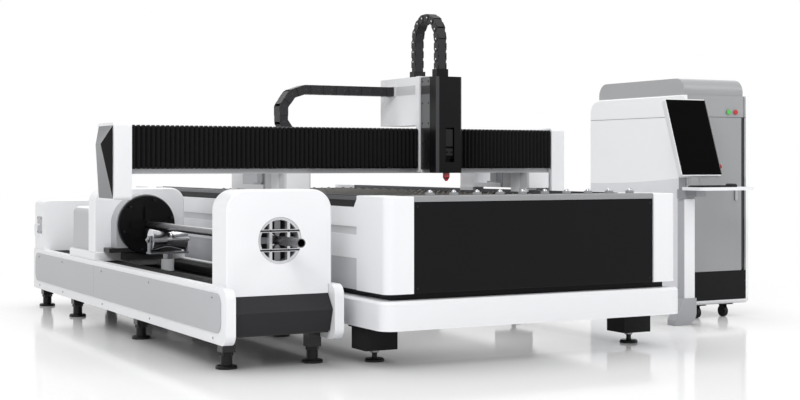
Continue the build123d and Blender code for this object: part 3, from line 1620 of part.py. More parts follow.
# Screen frame: a slim leaning case with a lug behind it on the hub's tilt pin
lean_sin = math.sin(math.radians(screen_lean))
lean_cos = math.cos(math.radians(screen_lean))
screen_x = console_x + screen_shift
screen_y = console_place - screen_forward
screen_plane = Plane(
    origin=(screen_x, screen_y, screen_bottom),
    x_dir=(1, 0, 0),
    z_dir=(0, -lean_cos, lean_sin),
)
tilt_up = (tilt_y - screen_y) * lean_sin + (tilt_height - screen_bottom) * lean_cos
tilt_back = (tilt_y - screen_y) * lean_cos - (tilt_height - screen_bottom) * lean_sin
with BuildPart() as screen_frame:
    with BuildSketch(screen_plane):
        with Locations((0, screen_height / 2)):
            RectangleRounded(screen_width, screen_height, screen_radius)
    extrude(amount=-screen_depth)
    with BuildSketch(screen_plane):
        with Locations((0, screen_height / 2)):
            Rectangle(screen_width - 2 * screen_bezel, screen_height - 2 * screen_bezel)
    extrude(amount=-screen_glass_depth, mode=Mode.SUBTRACT)
    with BuildSketch(screen_plane.offset(-screen_depth)):
        with Locations((-screen_shift, tilt_up)):
            Rectangle(2 * lug_half, lug_depth)
    extrude(amount=screen_depth - tilt_back - lug_depth / 2)
    with BuildSketch(Plane.YZ.offset(console_x - lug_half - cut_over)):
        with Locations((tilt_y, tilt_height)):
            Circle(tilt_pin_radius + running_gap)
    extrude(amount=2 * (lug_half + cut_over), mode=Mode.SUBTRACT)
    with BuildSketch(Plane.YZ.offset(screen_x + screen_width / 2)):
        with Locations((screen_y + estop_rise * lean_sin + screen_depth / 2, screen_bottom + estop_rise)):
            Circle(estop_neck + running_gap)
    extrude(amount=-estop_proud, mode=Mode.SUBTRACT)
screen_frame.part.label = "screen_frame"
export_step(screen_frame.part, "parts/screen_frame.step")

# Screen glass: a dark sheet let into the frame
with BuildPart() as screen_glass:
    with BuildSketch(screen_plane):
        with Locations((0, screen_height / 2)):
            Rectangle(screen_width - 2 * screen_bezel, screen_height - 2 * screen_bezel)
    extrude(amount=-screen_glass_depth)
screen_glass.part.label = "screen_glass"
export_step(screen_glass.part, "parts/screen_glass.step")

# Emergency button: a mushroom cap on a neck in the frame's right side
estop_face = screen_x + screen_width / 2
with BuildPart() as emergency_button:
    with BuildSketch(Plane.YZ.offset(estop_face + estop_proud / 2)):
        with Locations((screen_y + estop_rise * lean_sin + screen_depth / 2, screen_bottom + estop_rise)):
            Circle(estop_radius)
    extrude(amount=estop_proud / 2)
    fillet(emergency_button.faces().sort_by(Axis.X)[-1].edges(), radius=estop_proud / 6)
    with BuildSketch(Plane.YZ.offset(estop_face + estop_proud / 2)):
        with Locations((screen_y + estop_rise * lean_sin + screen_depth / 2, screen_bottom + estop_rise)):
            Circle(estop_neck)
    extrude(amount=-estop_proud)
emergency_button.part.label = "emergency_button"
export_step(emergency_button.part, "parts/emergency_button.step")

# Console tray: a shallow rimmed shelf on the hub's arm
tray_x = console_x + (tray_right - tray_left) / 2
tray_y = tray_rear - tray_depth / 2
with BuildPart() as console_tray:
    with BuildSketch(Plane.XY.offset(tray_bottom)):
        with Locations((tray_x, tray_y)):
            RectangleRounded(tray_left + tray_right, tray_depth, tray_corner)
    extrude(amount=tray_thickness + tray_rim_height)
    with BuildSketch(Plane.XY.offset(tray_top)):
        with Locations((tray_x, tray_y)):
            Rectangle(tray_left + tray_right - 2 * tray_rim, tray_depth - 2 * tray_rim)
    extrude(amount=tray_rim_height + cut_over, mode=Mode.SUBTRACT)
console_tray.part.label = "console_tray"
export_step(console_tray.part, "parts/console_tray.step")

# Keyboard: a slim board with rows of keys, laid on the tray's left
keyboard_x = console_x - tray_left + 2 * tray_rim + keyboard_length / 2
key_pitch_x = (keyboard_length - 2 * keyboard_margin) / key_columns
key_pitch_y = (keyboard_depth - 2 * keyboard_margin) / key_rows
with BuildPart() as keyboard:
    with BuildSketch(Plane.XY.offset(tray_top)):
        with Locations((keyboard_x, tray_y)):
            RectangleRounded(keyboard_length, keyboard_depth, keyboard_margin)
    extrude(amount=keyboard_height)
    with BuildSketch(Plane.XY.offset(tray_top + keyboard_height)):
        with Locations((keyboard_x, tray_y)):
            with GridLocations(key_pitch_x, key_pitch_y, key_columns, key_rows):
                Rectangle(key_pitch_x - key_gap, key_pitch_y - key_gap)
    extrude(amount=key_height)
keyboard.part.label = "keyboard"
export_step(keyboard.part, "parts/keyboard.step")

# Mouse: a rounded shell at the right of the keyboard
mouse_x = keyboard_x + keyboard_length / 2 + mouse_place / 2
with BuildPart() as mouse:
    with BuildSketch(Plane.XY.offset(tray_top)):
        with Locations((mouse_x, tray_y)):
            Ellipse(mouse_width / 2, mouse_length / 2)
    extrude(amount=mouse_height)
    fillet(mouse.edges().group_by(Axis.Z)[-1], radius=mouse_height / 2)
mouse.part.label = "mouse"
export_step(mouse.part, "parts/mouse.step")
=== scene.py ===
import math

import bmesh
import bpy
from mathutils import Matrix, Vector


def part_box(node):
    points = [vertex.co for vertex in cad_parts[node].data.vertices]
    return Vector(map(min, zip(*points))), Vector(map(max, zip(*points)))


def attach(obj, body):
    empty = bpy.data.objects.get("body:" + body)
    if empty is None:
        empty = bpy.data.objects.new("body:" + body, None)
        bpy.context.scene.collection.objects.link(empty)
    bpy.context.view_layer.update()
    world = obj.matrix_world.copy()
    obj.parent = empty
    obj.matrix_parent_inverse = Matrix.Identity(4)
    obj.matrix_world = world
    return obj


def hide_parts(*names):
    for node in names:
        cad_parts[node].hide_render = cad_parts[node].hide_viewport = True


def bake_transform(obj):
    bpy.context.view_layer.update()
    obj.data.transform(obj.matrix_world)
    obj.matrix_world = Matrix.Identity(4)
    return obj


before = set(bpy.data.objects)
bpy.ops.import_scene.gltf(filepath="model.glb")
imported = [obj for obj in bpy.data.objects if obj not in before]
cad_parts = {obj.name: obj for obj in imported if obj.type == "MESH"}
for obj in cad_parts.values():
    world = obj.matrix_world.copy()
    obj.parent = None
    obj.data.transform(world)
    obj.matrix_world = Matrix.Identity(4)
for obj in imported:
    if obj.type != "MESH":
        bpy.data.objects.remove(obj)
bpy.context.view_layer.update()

# The room: a pale studio floor under a white sky, with broad soft lamps; the floor has painted contact shade
# near the machine.
# The camera stands at the loading front's left, at the height of a person's chest.
CAMERA_PLACE = (-4.685, -8.846, 1.100)
CAMERA_TURN = 28.2
CAMERA_FOCUS_PX = 1411.0
PHOTO_WIDTH_PX = 800.0
PHOTO_MIDDLE_PX = 200.0
HORIZON_PX = 163.6
SENSOR_MM = 36.0
CAMERA_REACH = 200.0

camera_data = bpy.data.cameras.new("camera")
camera_data.sensor_width = SENSOR_MM
camera_data.lens = SENSOR_MM * CAMERA_FOCUS_PX / PHOTO_WIDTH_PX
camera_data.shift_y = (HORIZON_PX - PHOTO_MIDDLE_PX) / PHOTO_WIDTH_PX
camera_data.clip_end = CAMERA_REACH
camera = bpy.data.objects.new("camera", camera_data)
camera.location = CAMERA_PLACE
camera.rotation_euler = (math.radians(90.0), 0.0, -math.radians(CAMERA_TURN))
bpy.context.collection.objects.link(camera)
bpy.context.scene.camera = camera
bpy.context.scene.view_settings.view_transform = "Standard"


class Wire:
    """A shader socket that takes part in Python sums; each sum adds its Math node."""

    def __init__(self, tree, socket=None):
        self.tree = tree
        self.socket = socket

    def node(self, kind, settings, values, out=0):
        made = self.tree.nodes.new(kind)
        for name, value in settings.items():
            if name == "stops":
                ramp = made.color_ramp.elements
                for stop, (place, colour) in zip((ramp[0], ramp[1]), value):
                    stop.position = place
                    stop.color = colour
                for place, colour in value[2:]:
                    ramp.new(place).color = colour
            else:
                setattr(made, name, value)
        for key, value in values.items():
            if isinstance(value, Wire):
                self.tree.links.new(value.socket, made.inputs[key])
            else:
                made.inputs[key].default_value = value
        return Wire(self.tree, made.outputs[out])

    def sum(self, operation, first, second=0.0):
        return self.node("ShaderNodeMath", {"operation": operation}, {0: first, 1: second})

    def __add__(self, other):
        return self.sum("ADD", self, other)

    __radd__ = __add__

    def __sub__(self, other):
        return self.sum("SUBTRACT", self, other)

    def __rsub__(self, other):
        return self.sum("SUBTRACT", other, self)

    def __mul__(self, other):
        return self.sum("MULTIPLY", self, other)

    __rmul__ = __mul__

    def __gt__(self, other):
        return self.sum("GREATER_THAN", self, other)

    def __lt__(self, other):
        return self.sum("LESS_THAN", self, other)


def shade(red, green, blue):
    """A colour as it is seen, in steps of 255, turned to the shader's linear scale."""
    linear = []
    for step in (red, green, blue):
        share = step / 255.0
        linear.append(share / 12.92 if share <= 0.04045 else ((share + 0.055) / 1.055) ** 2.4)
    return (*linear, 1.0)


sky = bpy.data.worlds.new("sky")
sky.use_nodes = True
bpy.context.scene.world = sky
SKY_LIGHT = 0.57
sky_wire = Wire(sky.node_tree)
sky_seen = (
    sky_wire.node("ShaderNodeLightPath", {}, {}, "Is Camera Ray")
    + sky_wire.node("ShaderNodeLightPath", {}, {}, "Is Glossy Ray")
    + sky_wire.node("ShaderNodeLightPath", {}, {}, "Is Transmission Ray")
)
sky_strength = SKY_LIGHT + sky_seen * (1.0 - SKY_LIGHT)
sky_back = sky.node_tree.nodes["Background"]
sky_back.inputs["Color"].default_value = (1.0, 1.0, 1.0, 1.0)
sky.node_tree.links.new(sky_strength.socket, sky_back.inputs["Strength"])

LAMP_AIM = Vector((0.0, 0.0, 0.6))
for lamp_name, lamp_place, lamp_size, lamp_power in (
    ("key_lamp", (-6.5, -7.5, 7.0), 5.0, 440.0),
    ("fill_lamp", (5.5, -6.5, 6.0), 5.0, 165.0),
    ("top_lamp", (0.0, 1.0, 8.0), 6.0, 230.0),
    ("back_lamp", (1.0, 8.5, 6.0), 5.0, 120.0),
):
    lamp_data = bpy.data.lights.new(lamp_name, "AREA")
    lamp_data.shape = "DISK"
    lamp_data.size = lamp_size
    lamp_data.energy = lamp_power
    lamp = bpy.data.objects.new(lamp_name, lamp_data)
    lamp.location = lamp_place
    lamp.rotation_euler = (LAMP_AIM - Vector(lamp_place)).to_track_quat("-Z", "Y").to_euler()
    bpy.context.collection.objects.link(lamp)

FLOOR_HALF = 40.0
FLOOR_NEAR = 2.4
FLOOR_FAR = 5.4
FLOOR_GLOW = 0.34
FLOOR_CONTACT = 0.65
floor_mesh = bpy.data.meshes.new("floor")
floor_mesh.from_pydata(
    [
        (-FLOOR_HALF, -FLOOR_HALF, 0),
        (FLOOR_HALF, -FLOOR_HALF, 0),
        (FLOOR_HALF, FLOOR_HALF, 0),
        (-FLOOR_HALF, FLOOR_HALF, 0),
    ],
    [], [(0, 1, 2, 3)],
)
floor = bpy.data.objects.new("floor", floor_mesh)
bpy.context.collection.objects.link(floor)
floor_look = bpy.data.materials.new("studio_floor")
floor_look.use_nodes = True
floor_tree = floor_look.node_tree
floor_skin = floor_tree.nodes["Principled BSDF"]
floor_skin.inputs["Roughness"].default_value = 0.09
floor_skin.inputs["Specular IOR Level"].default_value = 0.35
floor_wire = Wire(floor_tree)
# Painted contact shade: the floor's colour darkens where ambient occlusion finds the machine near, and its
# white glow fades there too.
floor_open = floor_wire.node(
    "ShaderNodeAmbientOcclusion", {"samples": 8}, {"Distance": FLOOR_CONTACT}, "AO"
)
floor_shade_tint = floor_wire.node(
    "ShaderNodeMix", {"data_type": "RGBA"},
    {0: floor_open, 6: shade(150, 151, 153), 7: shade(251, 251, 252)}, 2,
)
floor_tree.links.new(floor_shade_tint.socket, floor_skin.inputs["Base Color"])
floor_place = floor_wire.node("ShaderNodeTexCoord", {}, {}, "Object")
floor_reach = floor_wire.node("ShaderNodeVectorMath", {"operation": "LENGTH"}, {0: floor_place}, "Value")
floor_fade = floor_wire.node(
    "ShaderNodeMapRange", {"interpolation_type": "SMOOTHSTEP"},
    {"Value": floor_reach, "From Min": FLOOR_NEAR, "From Max": FLOOR_FAR},
)
floor_seen = floor_wire.node("ShaderNodeLightPath", {}, {}, "Is Camera Ray") + floor_wire.node(
    "ShaderNodeLightPath", {}, {}, "Is Glossy Ray"
)
floor_white = floor_wire.node(
    "ShaderNodeEmission", {}, {"Color": (1.0, 1.0, 1.0, 1.0), "Strength": 1.0}
)
floor_mix = floor_wire.node(
    "ShaderNodeMixShader", {},
    {
        0: floor_seen * (floor_open * FLOOR_GLOW + floor_fade * (1.0 - FLOOR_GLOW)),
        1: Wire(floor_tree, floor_skin.outputs["BSDF"]),
        2: floor_white,
    },
)
floor_tree.links.new(floor_mix.socket, floor_tree.nodes["Material Output"].inputs["Surface"])
floor_mesh.materials.append(floor_look)

# Bed frame: a welded box of thick steel plate with the scrap well through its middle.
# It is sprayed black inside and out and carries every other piece of the bed.


def finish(
    name, colour, rough, metal=0.0, mottle=0.035, grain=1300.0, lift=0.00005, spread=0.10, brush=None,
    coat=0.0, sheen=0.5, zones=(),
):
    """A surface with a cloudy tint, fine grain in its gloss and a low bump; zones paint parts of it."""
    material = bpy.data.materials.new(name)
    material.use_nodes = True
    tree = material.node_tree
    skin = tree.nodes["Principled BSDF"]
    place = Wire(tree).node("ShaderNodeTexCoord", {}, {}, "Object")
    run = place
    if brush is not None:
        run = place.node("ShaderNodeVectorMath", {"operation": "MULTIPLY"}, {0: place, 1: brush})
    cloud = place.node("ShaderNodeTexNoise", {}, {"Vector": place, "Scale": 2.3, "Detail": 5.0}, 0)
    fine = run.node("ShaderNodeTexNoise", {}, {"Vector": run, "Scale": grain, "Detail": 2.0}, 0)
    dark = (*[part * (1.0 - mottle) for part in colour[:3]], 1.0)
    light = (*[min(part * (1.0 + mottle), 1.0) for part in colour[:3]], 1.0)
    tint = place.node("ShaderNodeMix", {"data_type": "RGBA"}, {0: cloud, 6: dark, 7: light}, 2)
    gloss = rough + (fine - 0.5) * spread + (cloud - 0.5) * spread
    for mask_of, zone_colour, zone_rough in zones:
        mask = mask_of(place)
        tint = place.node("ShaderNodeMix", {"data_type": "RGBA"}, {0: mask, 6: tint, 7: zone_colour}, 2)
        gloss = gloss + mask * (zone_rough - rough)
    bump = place.node("ShaderNodeBump", {}, {"Height": fine, "Strength": 0.6, "Distance": lift})
    tree.links.new(tint.socket, skin.inputs["Base Color"])
    tree.links.new(gloss.socket, skin.inputs["Roughness"])
    tree.links.new(bump.socket, skin.inputs["Normal"])
    skin.inputs["Metallic"].default_value = metal
    skin.inputs["Coat Weight"].default_value = coat
    skin.inputs["Specular IOR Level"].default_value = sheen
    return material


def axis_of(place, letter):
    """One coordinate of the place, in metres."""
    return place.node("ShaderNodeSeparateXYZ", {}, {0: place}, letter)


def between(place, letter, low, high):
    """A mask of what lies between two heights or stations."""
    part = axis_of(place, letter)
    return (part > low) * (part < high)


def facing(place, letter):
    """The surface's own direction along one axis, from minus one to one."""
    direction = place.node("ShaderNodeTexCoord", {}, {}, "Normal")
    return place.node("ShaderNodeSeparateXYZ", {}, {0: direction}, letter)


def band(letter, low, high):
    """The mask of a zone between two stations along one axis."""
    return lambda place: between(place, letter, low, high)


def below(letter, high):
    """The mask of a zone short of a station along one axis."""
    return lambda place: axis_of(place, letter) < high


def above(letter, low):
    """The mask of a zone past a station along one axis."""
    return lambda place: axis_of(place, letter) > low


def turned_to(letter, most):
    """The mask of the faces that look against one axis, by that much or more."""
    return lambda place: facing(place, letter) < most


def dress(material, *names):
    """Gives a finish to the bed's and the other pieces' solids."""
    for name in names:
        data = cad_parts[name].data
        data.materials.clear()
        data.materials.append(material)


black_coat = finish(
    "black_coat", shade(27, 27, 29), 0.52, sheen=0.15, mottle=0.12, grain=1600.0, lift=0.00012,
    spread=0.16,
)
dress(black_coat, "bed_frame", "foot_brackets")

# Base band, corner posts and side covers: bent sheet with a satin white powder coat.
# The long covers have a light gray stripe, painted shade of a groove, and a darker foot, painted shade of a
# set-back panel.
GROOVE_SHADE = (0.704, 0.749)
FOOT_TOP = 0.573


def white_powder(name, *zones):
    """The satin white powder coat of the covers; its zones take other tones, some sprayed and some painted
    shade.
    """
    return finish(name, shade(240, 241, 243), 0.36, mottle=0.012, coat=0.15, zones=zones)


white_coat = white_powder("white_coat")
side_coat_shaded = white_powder(
    "side_coat_shaded",
    (band("Z", *GROOVE_SHADE), shade(206, 207, 209), 0.42),
    (below("Z", FOOT_TOP), shade(200, 201, 204), 0.42),
)
dress(white_coat, "base_band", "corner_posts")
dress(side_coat_shaded, "side_panels")

# Front panel: a flat sheet between the front posts, sprayed gloss black.
# It is held by a button head screw in each corner.
FRONT = (0.0, -1.0, 0.0)
PANEL_SCREW_INSET = 0.026
SOCKET_SHARE = 0.42
SOCKET_DEEP_SHARE = 0.8
SOCKET_TAPER_SHARE = 0.96


def inset(low, high, by):
    """The two stations that lie a little inside of both ends."""
    return low + by, high - by


def mesh_piece(name, points, faces, materials, picks=None):
    """A flat-faced object from points and faces; picks gives the finish of each face."""
    data = bpy.data.meshes.new(name)
    data.from_pydata([tuple(point) for point in points], [], faces)
    for material in materials:
        data.materials.append(material)
    for index, face in enumerate(data.polygons):
        face.use_smooth = False
        if picks is not None:
            face.material_index = picks[index]
    shape = bmesh.new()
    shape.from_mesh(data)
    bmesh.ops.recalc_face_normals(shape, faces=shape.faces)
    shape.to_mesh(data)
    shape.free()
    piece = bpy.data.objects.new(name, data)
    bpy.context.collection.objects.link(piece)
    return piece


def turned_set(name, body, look, spots, way, profile, sides=12, socket=0.0, hollow=False):
    """Alike turned pieces, one at each spot, built up in rings along one way.

    A socket is a hexagon hole in the outer end; a hollow piece is a ring that closes on itself.
    """
    way = Vector(way).normalized()
    aside = way.orthogonal().normalized()
    upright = way.cross(aside)
    rings = [(radius, height, False) for radius, height in profile]
    if socket > 0.0:
        rings.append((socket, profile[-1][1], True))
        rings.append((SOCKET_TAPER_SHARE * socket, profile[-1][1] - SOCKET_DEEP_SHARE * socket, True))
    points = []
    faces = []
    for spot in spots:
        first = len(points)
        for radius, height, hexagon in rings:
            for step in range(sides):
                turn = 2.0 * math.pi * step / sides
                reach = radius
                if hexagon:
                    off_flat = turn % (math.pi / 3.0) - math.pi / 6.0
                    reach = radius * math.cos(math.pi / 6.0) / math.cos(off_flat)
                outward = aside * (reach * math.cos(turn)) + upright * (reach * math.sin(turn))
                points.append(Vector(spot) + way * height + outward)
        for ring in range(len(rings) if hollow else len(rings) - 1):
            low = first + ring * sides
            high = first + (ring + 1) % len(rings) * sides
            for step in range(sides):
                after = (step + 1) % sides
                faces.append((low + step, low + after, high + after, high + step))
        if not hollow:
            faces.append(tuple(reversed(range(first, first + sides))))
            faces.append(tuple(range(len(points) - sides, len(points))))
    piece = mesh_piece(name, points, faces, [look])
    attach(piece, body)


def button_screws(name, body, look, spots, way, radius, socket=None):
    """Button head screws with a hexagon socket, one at each spot."""
    head = [
        (radius, 0.0), (radius, 0.16 * radius), (0.86 * radius, 0.42 * radius),
        (0.60 * radius, 0.55 * radius),
    ]
    turned_set(name, body, look, spots, way, head, socket=socket or SOCKET_SHARE * radius)


panel_black = finish("panel_black", shade(19, 19, 21), 0.30, sheen=0.10, mottle=0.10, spread=0.06)
dress(panel_black, "front_panel")
screw_black = finish("screw_black", shade(38, 38, 41), 0.34, metal=0.7, mottle=0.12, grain=900.0, spread=0.12)
panel_low, panel_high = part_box("front_panel")
button_screws(
    "front_panel_screws", "base", screw_black,
    [
        (along, panel_low.y, height)
        for along in inset(panel_low.x, panel_high.x, PANEL_SCREW_INSET)
        for height in inset(panel_low.z, panel_high.z, PANEL_SCREW_INSET)
    ],
    FRONT, radius=0.007,
)

# Ball strip and transfer balls: a gray coated loading edge with turned cups.
# Hard chromed steel balls sit in the cups and turn under the sheet.
edge_gray = finish("edge_gray", shade(146, 147, 149), 0.40, mottle=0.04)
chrome = finish("chrome", shade(176, 177, 180), 0.10, metal=1.0, mottle=0.02, spread=0.04, lift=0.00001)
dress(edge_gray, "ball_strip")
dress(chrome, "transfer_balls")

# Cutting slats: toothed strips of raw hot rolled plate, dropped loose into the ledges.
# Their teeth are burnt brown and bright where the beam has passed.
SLAT_TOOTH = 0.880
slat_steel = finish(
    "slat_steel", shade(120, 120, 121), 0.46, metal=0.85, mottle=0.30, grain=260.0, lift=0.0002,
    spread=0.30, zones=((above("Z", SLAT_TOOTH), shade(134, 131, 127), 0.38),),
)
dress(slat_steel, "cutting_slats")

# Levelling feet: turned steel studs on round pads, blackened.
# A hexagon nut locks each stud under its bracket or leg.
foot_black = finish(
    "foot_black", shade(19, 19, 21), 0.38, metal=0.10, sheen=0.30, mottle=0.15, grain=900.0, spread=0.15
)
dress(foot_black, "levelling_feet")
nut_zinc = finish("nut_zinc", shade(150, 151, 153), 0.30, metal=0.9, mottle=0.10, grain=700.0, spread=0.16)
UP = (0.0, 0.0, 1.0)
BED_FEET_X = (-1.097, 0.661)
BED_FEET_Y = (-1.854, -0.554, 0.746, 2.046)
BED_NUT_TOP = 0.0695
BED_NUT = 0.027
TUBE_FEET_X = (-1.927, -1.421)
TUBE_FEET_Y = (-1.730, -0.259, 1.212, 2.080)
TUBE_NUT_TOP = 0.0895
TUBE_NUT = 0.038
NUT_TALL = 0.020
NUT_CHAMFER = 0.003
NUT_FLAT_SHARE = 0.90
for nut_name, nut_x, nut_y, nut_top, nut_radius, nut_look in (
    ("bed_foot_nuts", BED_FEET_X, BED_FEET_Y, BED_NUT_TOP, BED_NUT, nut_zinc),
    ("tube_foot_nuts", TUBE_FEET_X, TUBE_FEET_Y, TUBE_NUT_TOP, TUBE_NUT, foot_black),
):
    turned_set(
        nut_name, "base", nut_look,
        [(across, along, nut_top - NUT_TALL) for across in nut_x for along in nut_y], UP,
        [
            (NUT_FLAT_SHARE * nut_radius, 0.0),
            (nut_radius, NUT_CHAMFER),
            (nut_radius, NUT_TALL - NUT_CHAMFER),
            (NUT_FLAT_SHARE * nut_radius, NUT_TALL),
        ],
        sides=6,
    )

# Guide rails and cross rails: bars of hardened and ground steel, bolted down along their length.
# The long guide rails are dark with oil, and the cross rails behind the bellows are bright.


def ground_steel(name, colour, rough, brush):
    """Bare steel with grinding marks that run along the piece."""
    return finish(name, colour, rough, metal=1.0, mottle=0.06, grain=700.0, brush=brush, spread=0.16)


rail_steel = ground_steel("rail_steel", shade(92, 93, 96), 0.30, (1.0, 0.02, 1.0))
cross_steel = ground_steel("cross_steel", shade(196, 198, 202), 0.22, (0.02, 1.0, 1.0))
dress(rail_steel, "guide_rails")
dress(cross_steel, "cross_rails")

# Gantry beam, saddles, motors and end covers: a welded box beam on two milled feet.
# Beam, feet and covers are powder coated; the gray bands on the feet's sides are painted shade of ribs and
# recesses.
# A black servomotor with two cable plugs stands on a gray gearbox on each foot.
BACK = (0.0, 1.0, 0.0)
RIGHT = (1.0, 0.0, 0.0)
BEAM_LIP_TOP = 1.0705
SADDLE_SHADE_BANDS = (-0.850, -0.746, -0.628, -0.531, -0.498)
GEARBOX_TOP = 1.045
MOTOR_HALF = 0.060
PLUG_DROPS = (0.030, 0.075)
PLUG_PROFILE = (
    (0.020, 0.0), (0.020, 0.010), (0.016, 0.011), (0.016, 0.018), (0.019, 0.019), (0.019, 0.036),
    (0.012, 0.042),
)
COVER_SCREW_INSET = 0.045
beam_coat = finish(
    "beam_coat", shade(232, 233, 235), 0.30, mottle=0.02, coat=0.2,
    zones=((below("Z", BEAM_LIP_TOP), shade(205, 206, 209), 0.24),),
)
dress(beam_coat, "gantry_beam")
dress(white_coat, "end_covers")


def saddle_shade_band(low, high):
    """A mask of an upright band of painted shade on the saddles' outer and inner sides."""

    def mask(place):
        sideways = facing(place, "X") * facing(place, "X")
        return between(place, "Y", low, high) * (sideways > 0.3)

    return mask


saddle_coat_shaded = white_powder(
    "saddle_coat_shaded",
    (saddle_shade_band(SADDLE_SHADE_BANDS[3], SADDLE_SHADE_BANDS[4]), shade(150, 151, 153), 0.40),
    (saddle_shade_band(SADDLE_SHADE_BANDS[2], SADDLE_SHADE_BANDS[3]), shade(212, 213, 215), 0.40),
    (saddle_shade_band(SADDLE_SHADE_BANDS[0], SADDLE_SHADE_BANDS[1]), shade(206, 207, 209), 0.40),
)
dress(saddle_coat_shaded, "saddles")
motor_black = finish(
    "motor_black", shade(30, 30, 32), 0.45, mottle=0.10, grain=900.0, lift=0.0001,
    zones=((below("Z", GEARBOX_TOP), shade(158, 160, 163), 0.3),),
)
dress(motor_black, "drive_motors")
motor_low, motor_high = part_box("drive_motors")
turned_set(
    "motor_plugs", "gantry", screw_black,
    [
        (middle, motor_high.y, motor_high.z - drop)
        for middle in inset(motor_low.x, motor_high.x, MOTOR_HALF)
        for drop in PLUG_DROPS
    ],
    BACK, PLUG_PROFILE, sides=16,
)
cover_low, cover_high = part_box("end_covers")
button_screws(
    "end_cover_screws", "gantry", screw_black,
    [
        (cover_high.x, along, height)
        for along in inset(cover_low.y, cover_high.y, COVER_SCREW_INSET)
        for height in inset(cover_low.z, cover_high.z, COVER_SCREW_INSET)
    ],
    RIGHT, radius=0.008,
)

# End cap: a faceted cover pressed from thick sheet and screwed over the beam's left end.
# It is sprayed gray, with the front facet masked and sprayed black.
cap_coat = finish(
    "cap_coat", shade(122, 123, 125), 0.40, sheen=0.22, mottle=0.03,
    zones=((turned_to("Y", -0.55), shade(14, 14, 15), 0.34),),
)
dress(cap_coat, "end_cap")

# Bellows: folded covers of coated cloth that keep dust off the cross rails.
# Each fold is welded to the next; one end is fixed to the beam's end, the other to the carriage.
BELLOWS_LOW = 1.069
BELLOWS_HIGH = 1.328
BELLOWS_FRONT = -0.846
BELLOWS_BACK = -0.806
FOLD_IN = 0.011
FOLD_CORNER = 0.006
FOLD_TOP_HIGHLIGHT = 0.004
RIDGE_SHARES = (0.0, 0.36, 0.64)


def eased(share):
    """Where a smooth ramp from nought to one reaches a share."""
    return 0.5 - math.sin(math.asin(1.0 - 2.0 * share) / 3.0)


def stretch(piece, still, moving, begin, end, low, high):
    """Bakes the piece's place into its points; the run from begin to end is worked out, but the piece does
    not follow the moving body.
    """
    first = eased(low)
    run = (Vector(end) - Vector(begin)) / (eased(high) - first)
    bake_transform(piece)


# The cloth's top edge is painted lighter: a painted highlight along the folds' tops.
bellows_cloth = finish(
    "bellows_cloth", shade(15, 15, 16), 0.50, sheen=0.12, mottle=0.16, grain=1900.0, lift=0.00008,
    spread=0.14, zones=((above("Z", BELLOWS_HIGH - FOLD_TOP_HIGHLIGHT), shade(78, 78, 80), 0.55),),
)


def pleats(name, node, bodies, place, section, start, fold, folds, shares):
    """Some folds of a pleated cover, from the first fold to the last; they do not stretch as the joint moves.

    Each fold is a valley and a flat ridge; section gives the outline of either, and place turns a
    station along the cover and an outline's point to a place on the machine.
    """
    first, last = folds
    stations = []
    for index in range(first, last):
        for ridge_share in RIDGE_SHARES:
            stations.append((start + (index + ridge_share) * fold, ridge_share == 0.0))
    stations.append((start + last * fold, True))
    points = []
    for along, valley in stations:
        points.extend(place(along, *corner) for corner in section(valley))
    around = len(points) // len(stations)
    faces = []
    for index in range(len(stations) - 1):
        for corner in range(around):
            after = (corner + 1) % around
            base = index * around
            faces.append((base + corner, base + after, base + around + after, base + around + corner))
    faces.append(tuple(range(around)))
    faces.append(tuple(reversed(range(len(points) - around, len(points)))))
    cover = mesh_piece(name, points, faces, [bellows_cloth])
    begin = place(start + first * fold, 0.0, 0.0)
    end = place(start + last * fold, 0.0, 0.0)
    stretch(cover, *bodies, begin, end, *shares)
    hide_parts(node)


def shared_out(low, high, part, count):
    """The shares at both ends of one of a cover's parts."""
    step = (high - low) / count
    return low + part * step, low + (part + 1) * step


def bellows_section(valley):
    """The bellows' outline across the beam; a valley is drawn in from the ridge."""
    depth = FOLD_IN if valley else 0.0
    front = BELLOWS_FRONT + depth
    low = BELLOWS_LOW + depth
    high = BELLOWS_HIGH - depth
    return [
        (BELLOWS_BACK, low), (BELLOWS_BACK, high), (front + FOLD_CORNER, high),
        (front, high - FOLD_CORNER), (front, low + FOLD_CORNER), (front + FOLD_CORNER, low),
    ]


for bellows_node, bellows_start, bellows_end, fold_count, part_count, low_share, high_share in (
    ("bellows_left", -2.171, -0.2560, 64, 8, 0.0, 1.0),
    ("bellows_right", -0.0355, 0.779, 28, 7, 1.0, 0.0),
):
    folds_each = fold_count // part_count
    for part in range(part_count):
        pleats(
            f"{bellows_node}_folds_{part}", bellows_node, ("gantry", "carriage"),
            lambda along, across, rise: (along, across, rise), bellows_section, bellows_start,
            (bellows_end - bellows_start) / fold_count, (part * folds_each, (part + 1) * folds_each),
            shared_out(low_share, high_share, part, part_count),
        )

# Carriage: a milled plate on the cross rails with a bent white cover behind it.
# The cover's left side has a light gray band at the chain's bracket: painted shade of a groove round the
# carriage.
# A thin white flange closes the plate's left edge, and louvres are pressed into the cover's back.
CARRIAGE_GROOVE_SHADE = (1.551, 1.612)
FLANGE_LOW = (-0.2556, -0.8455, 1.042)
FLANGE_HIGH = (-0.2412, -0.803, 1.667)
CARRIAGE_LOUVRE_Z = 1.52
HOOD_TALL_SHARE = 0.66
HOOD_REACH_SHARE = 0.42
HOOD_END_SHARE = 0.05
HOOD_SHARES = ((-0.06, 0.5), (0.5, 0.24), (0.92, -0.22), (1.0, -0.46), (0.9, -0.5), (-0.06, -0.5))


def groove_shade_mask(place):
    """The band of painted groove shade on the cover's left side."""
    return between(place, "Z", *CARRIAGE_GROOVE_SHADE) * (facing(place, "X") < -0.5)


cover_coat_shaded = white_powder("cover_coat_shaded", (groove_shade_mask, shade(206, 207, 209), 0.4))
dress(white_coat, "carriage_plate")
dress(cover_coat_shaded, "carriage_cover")


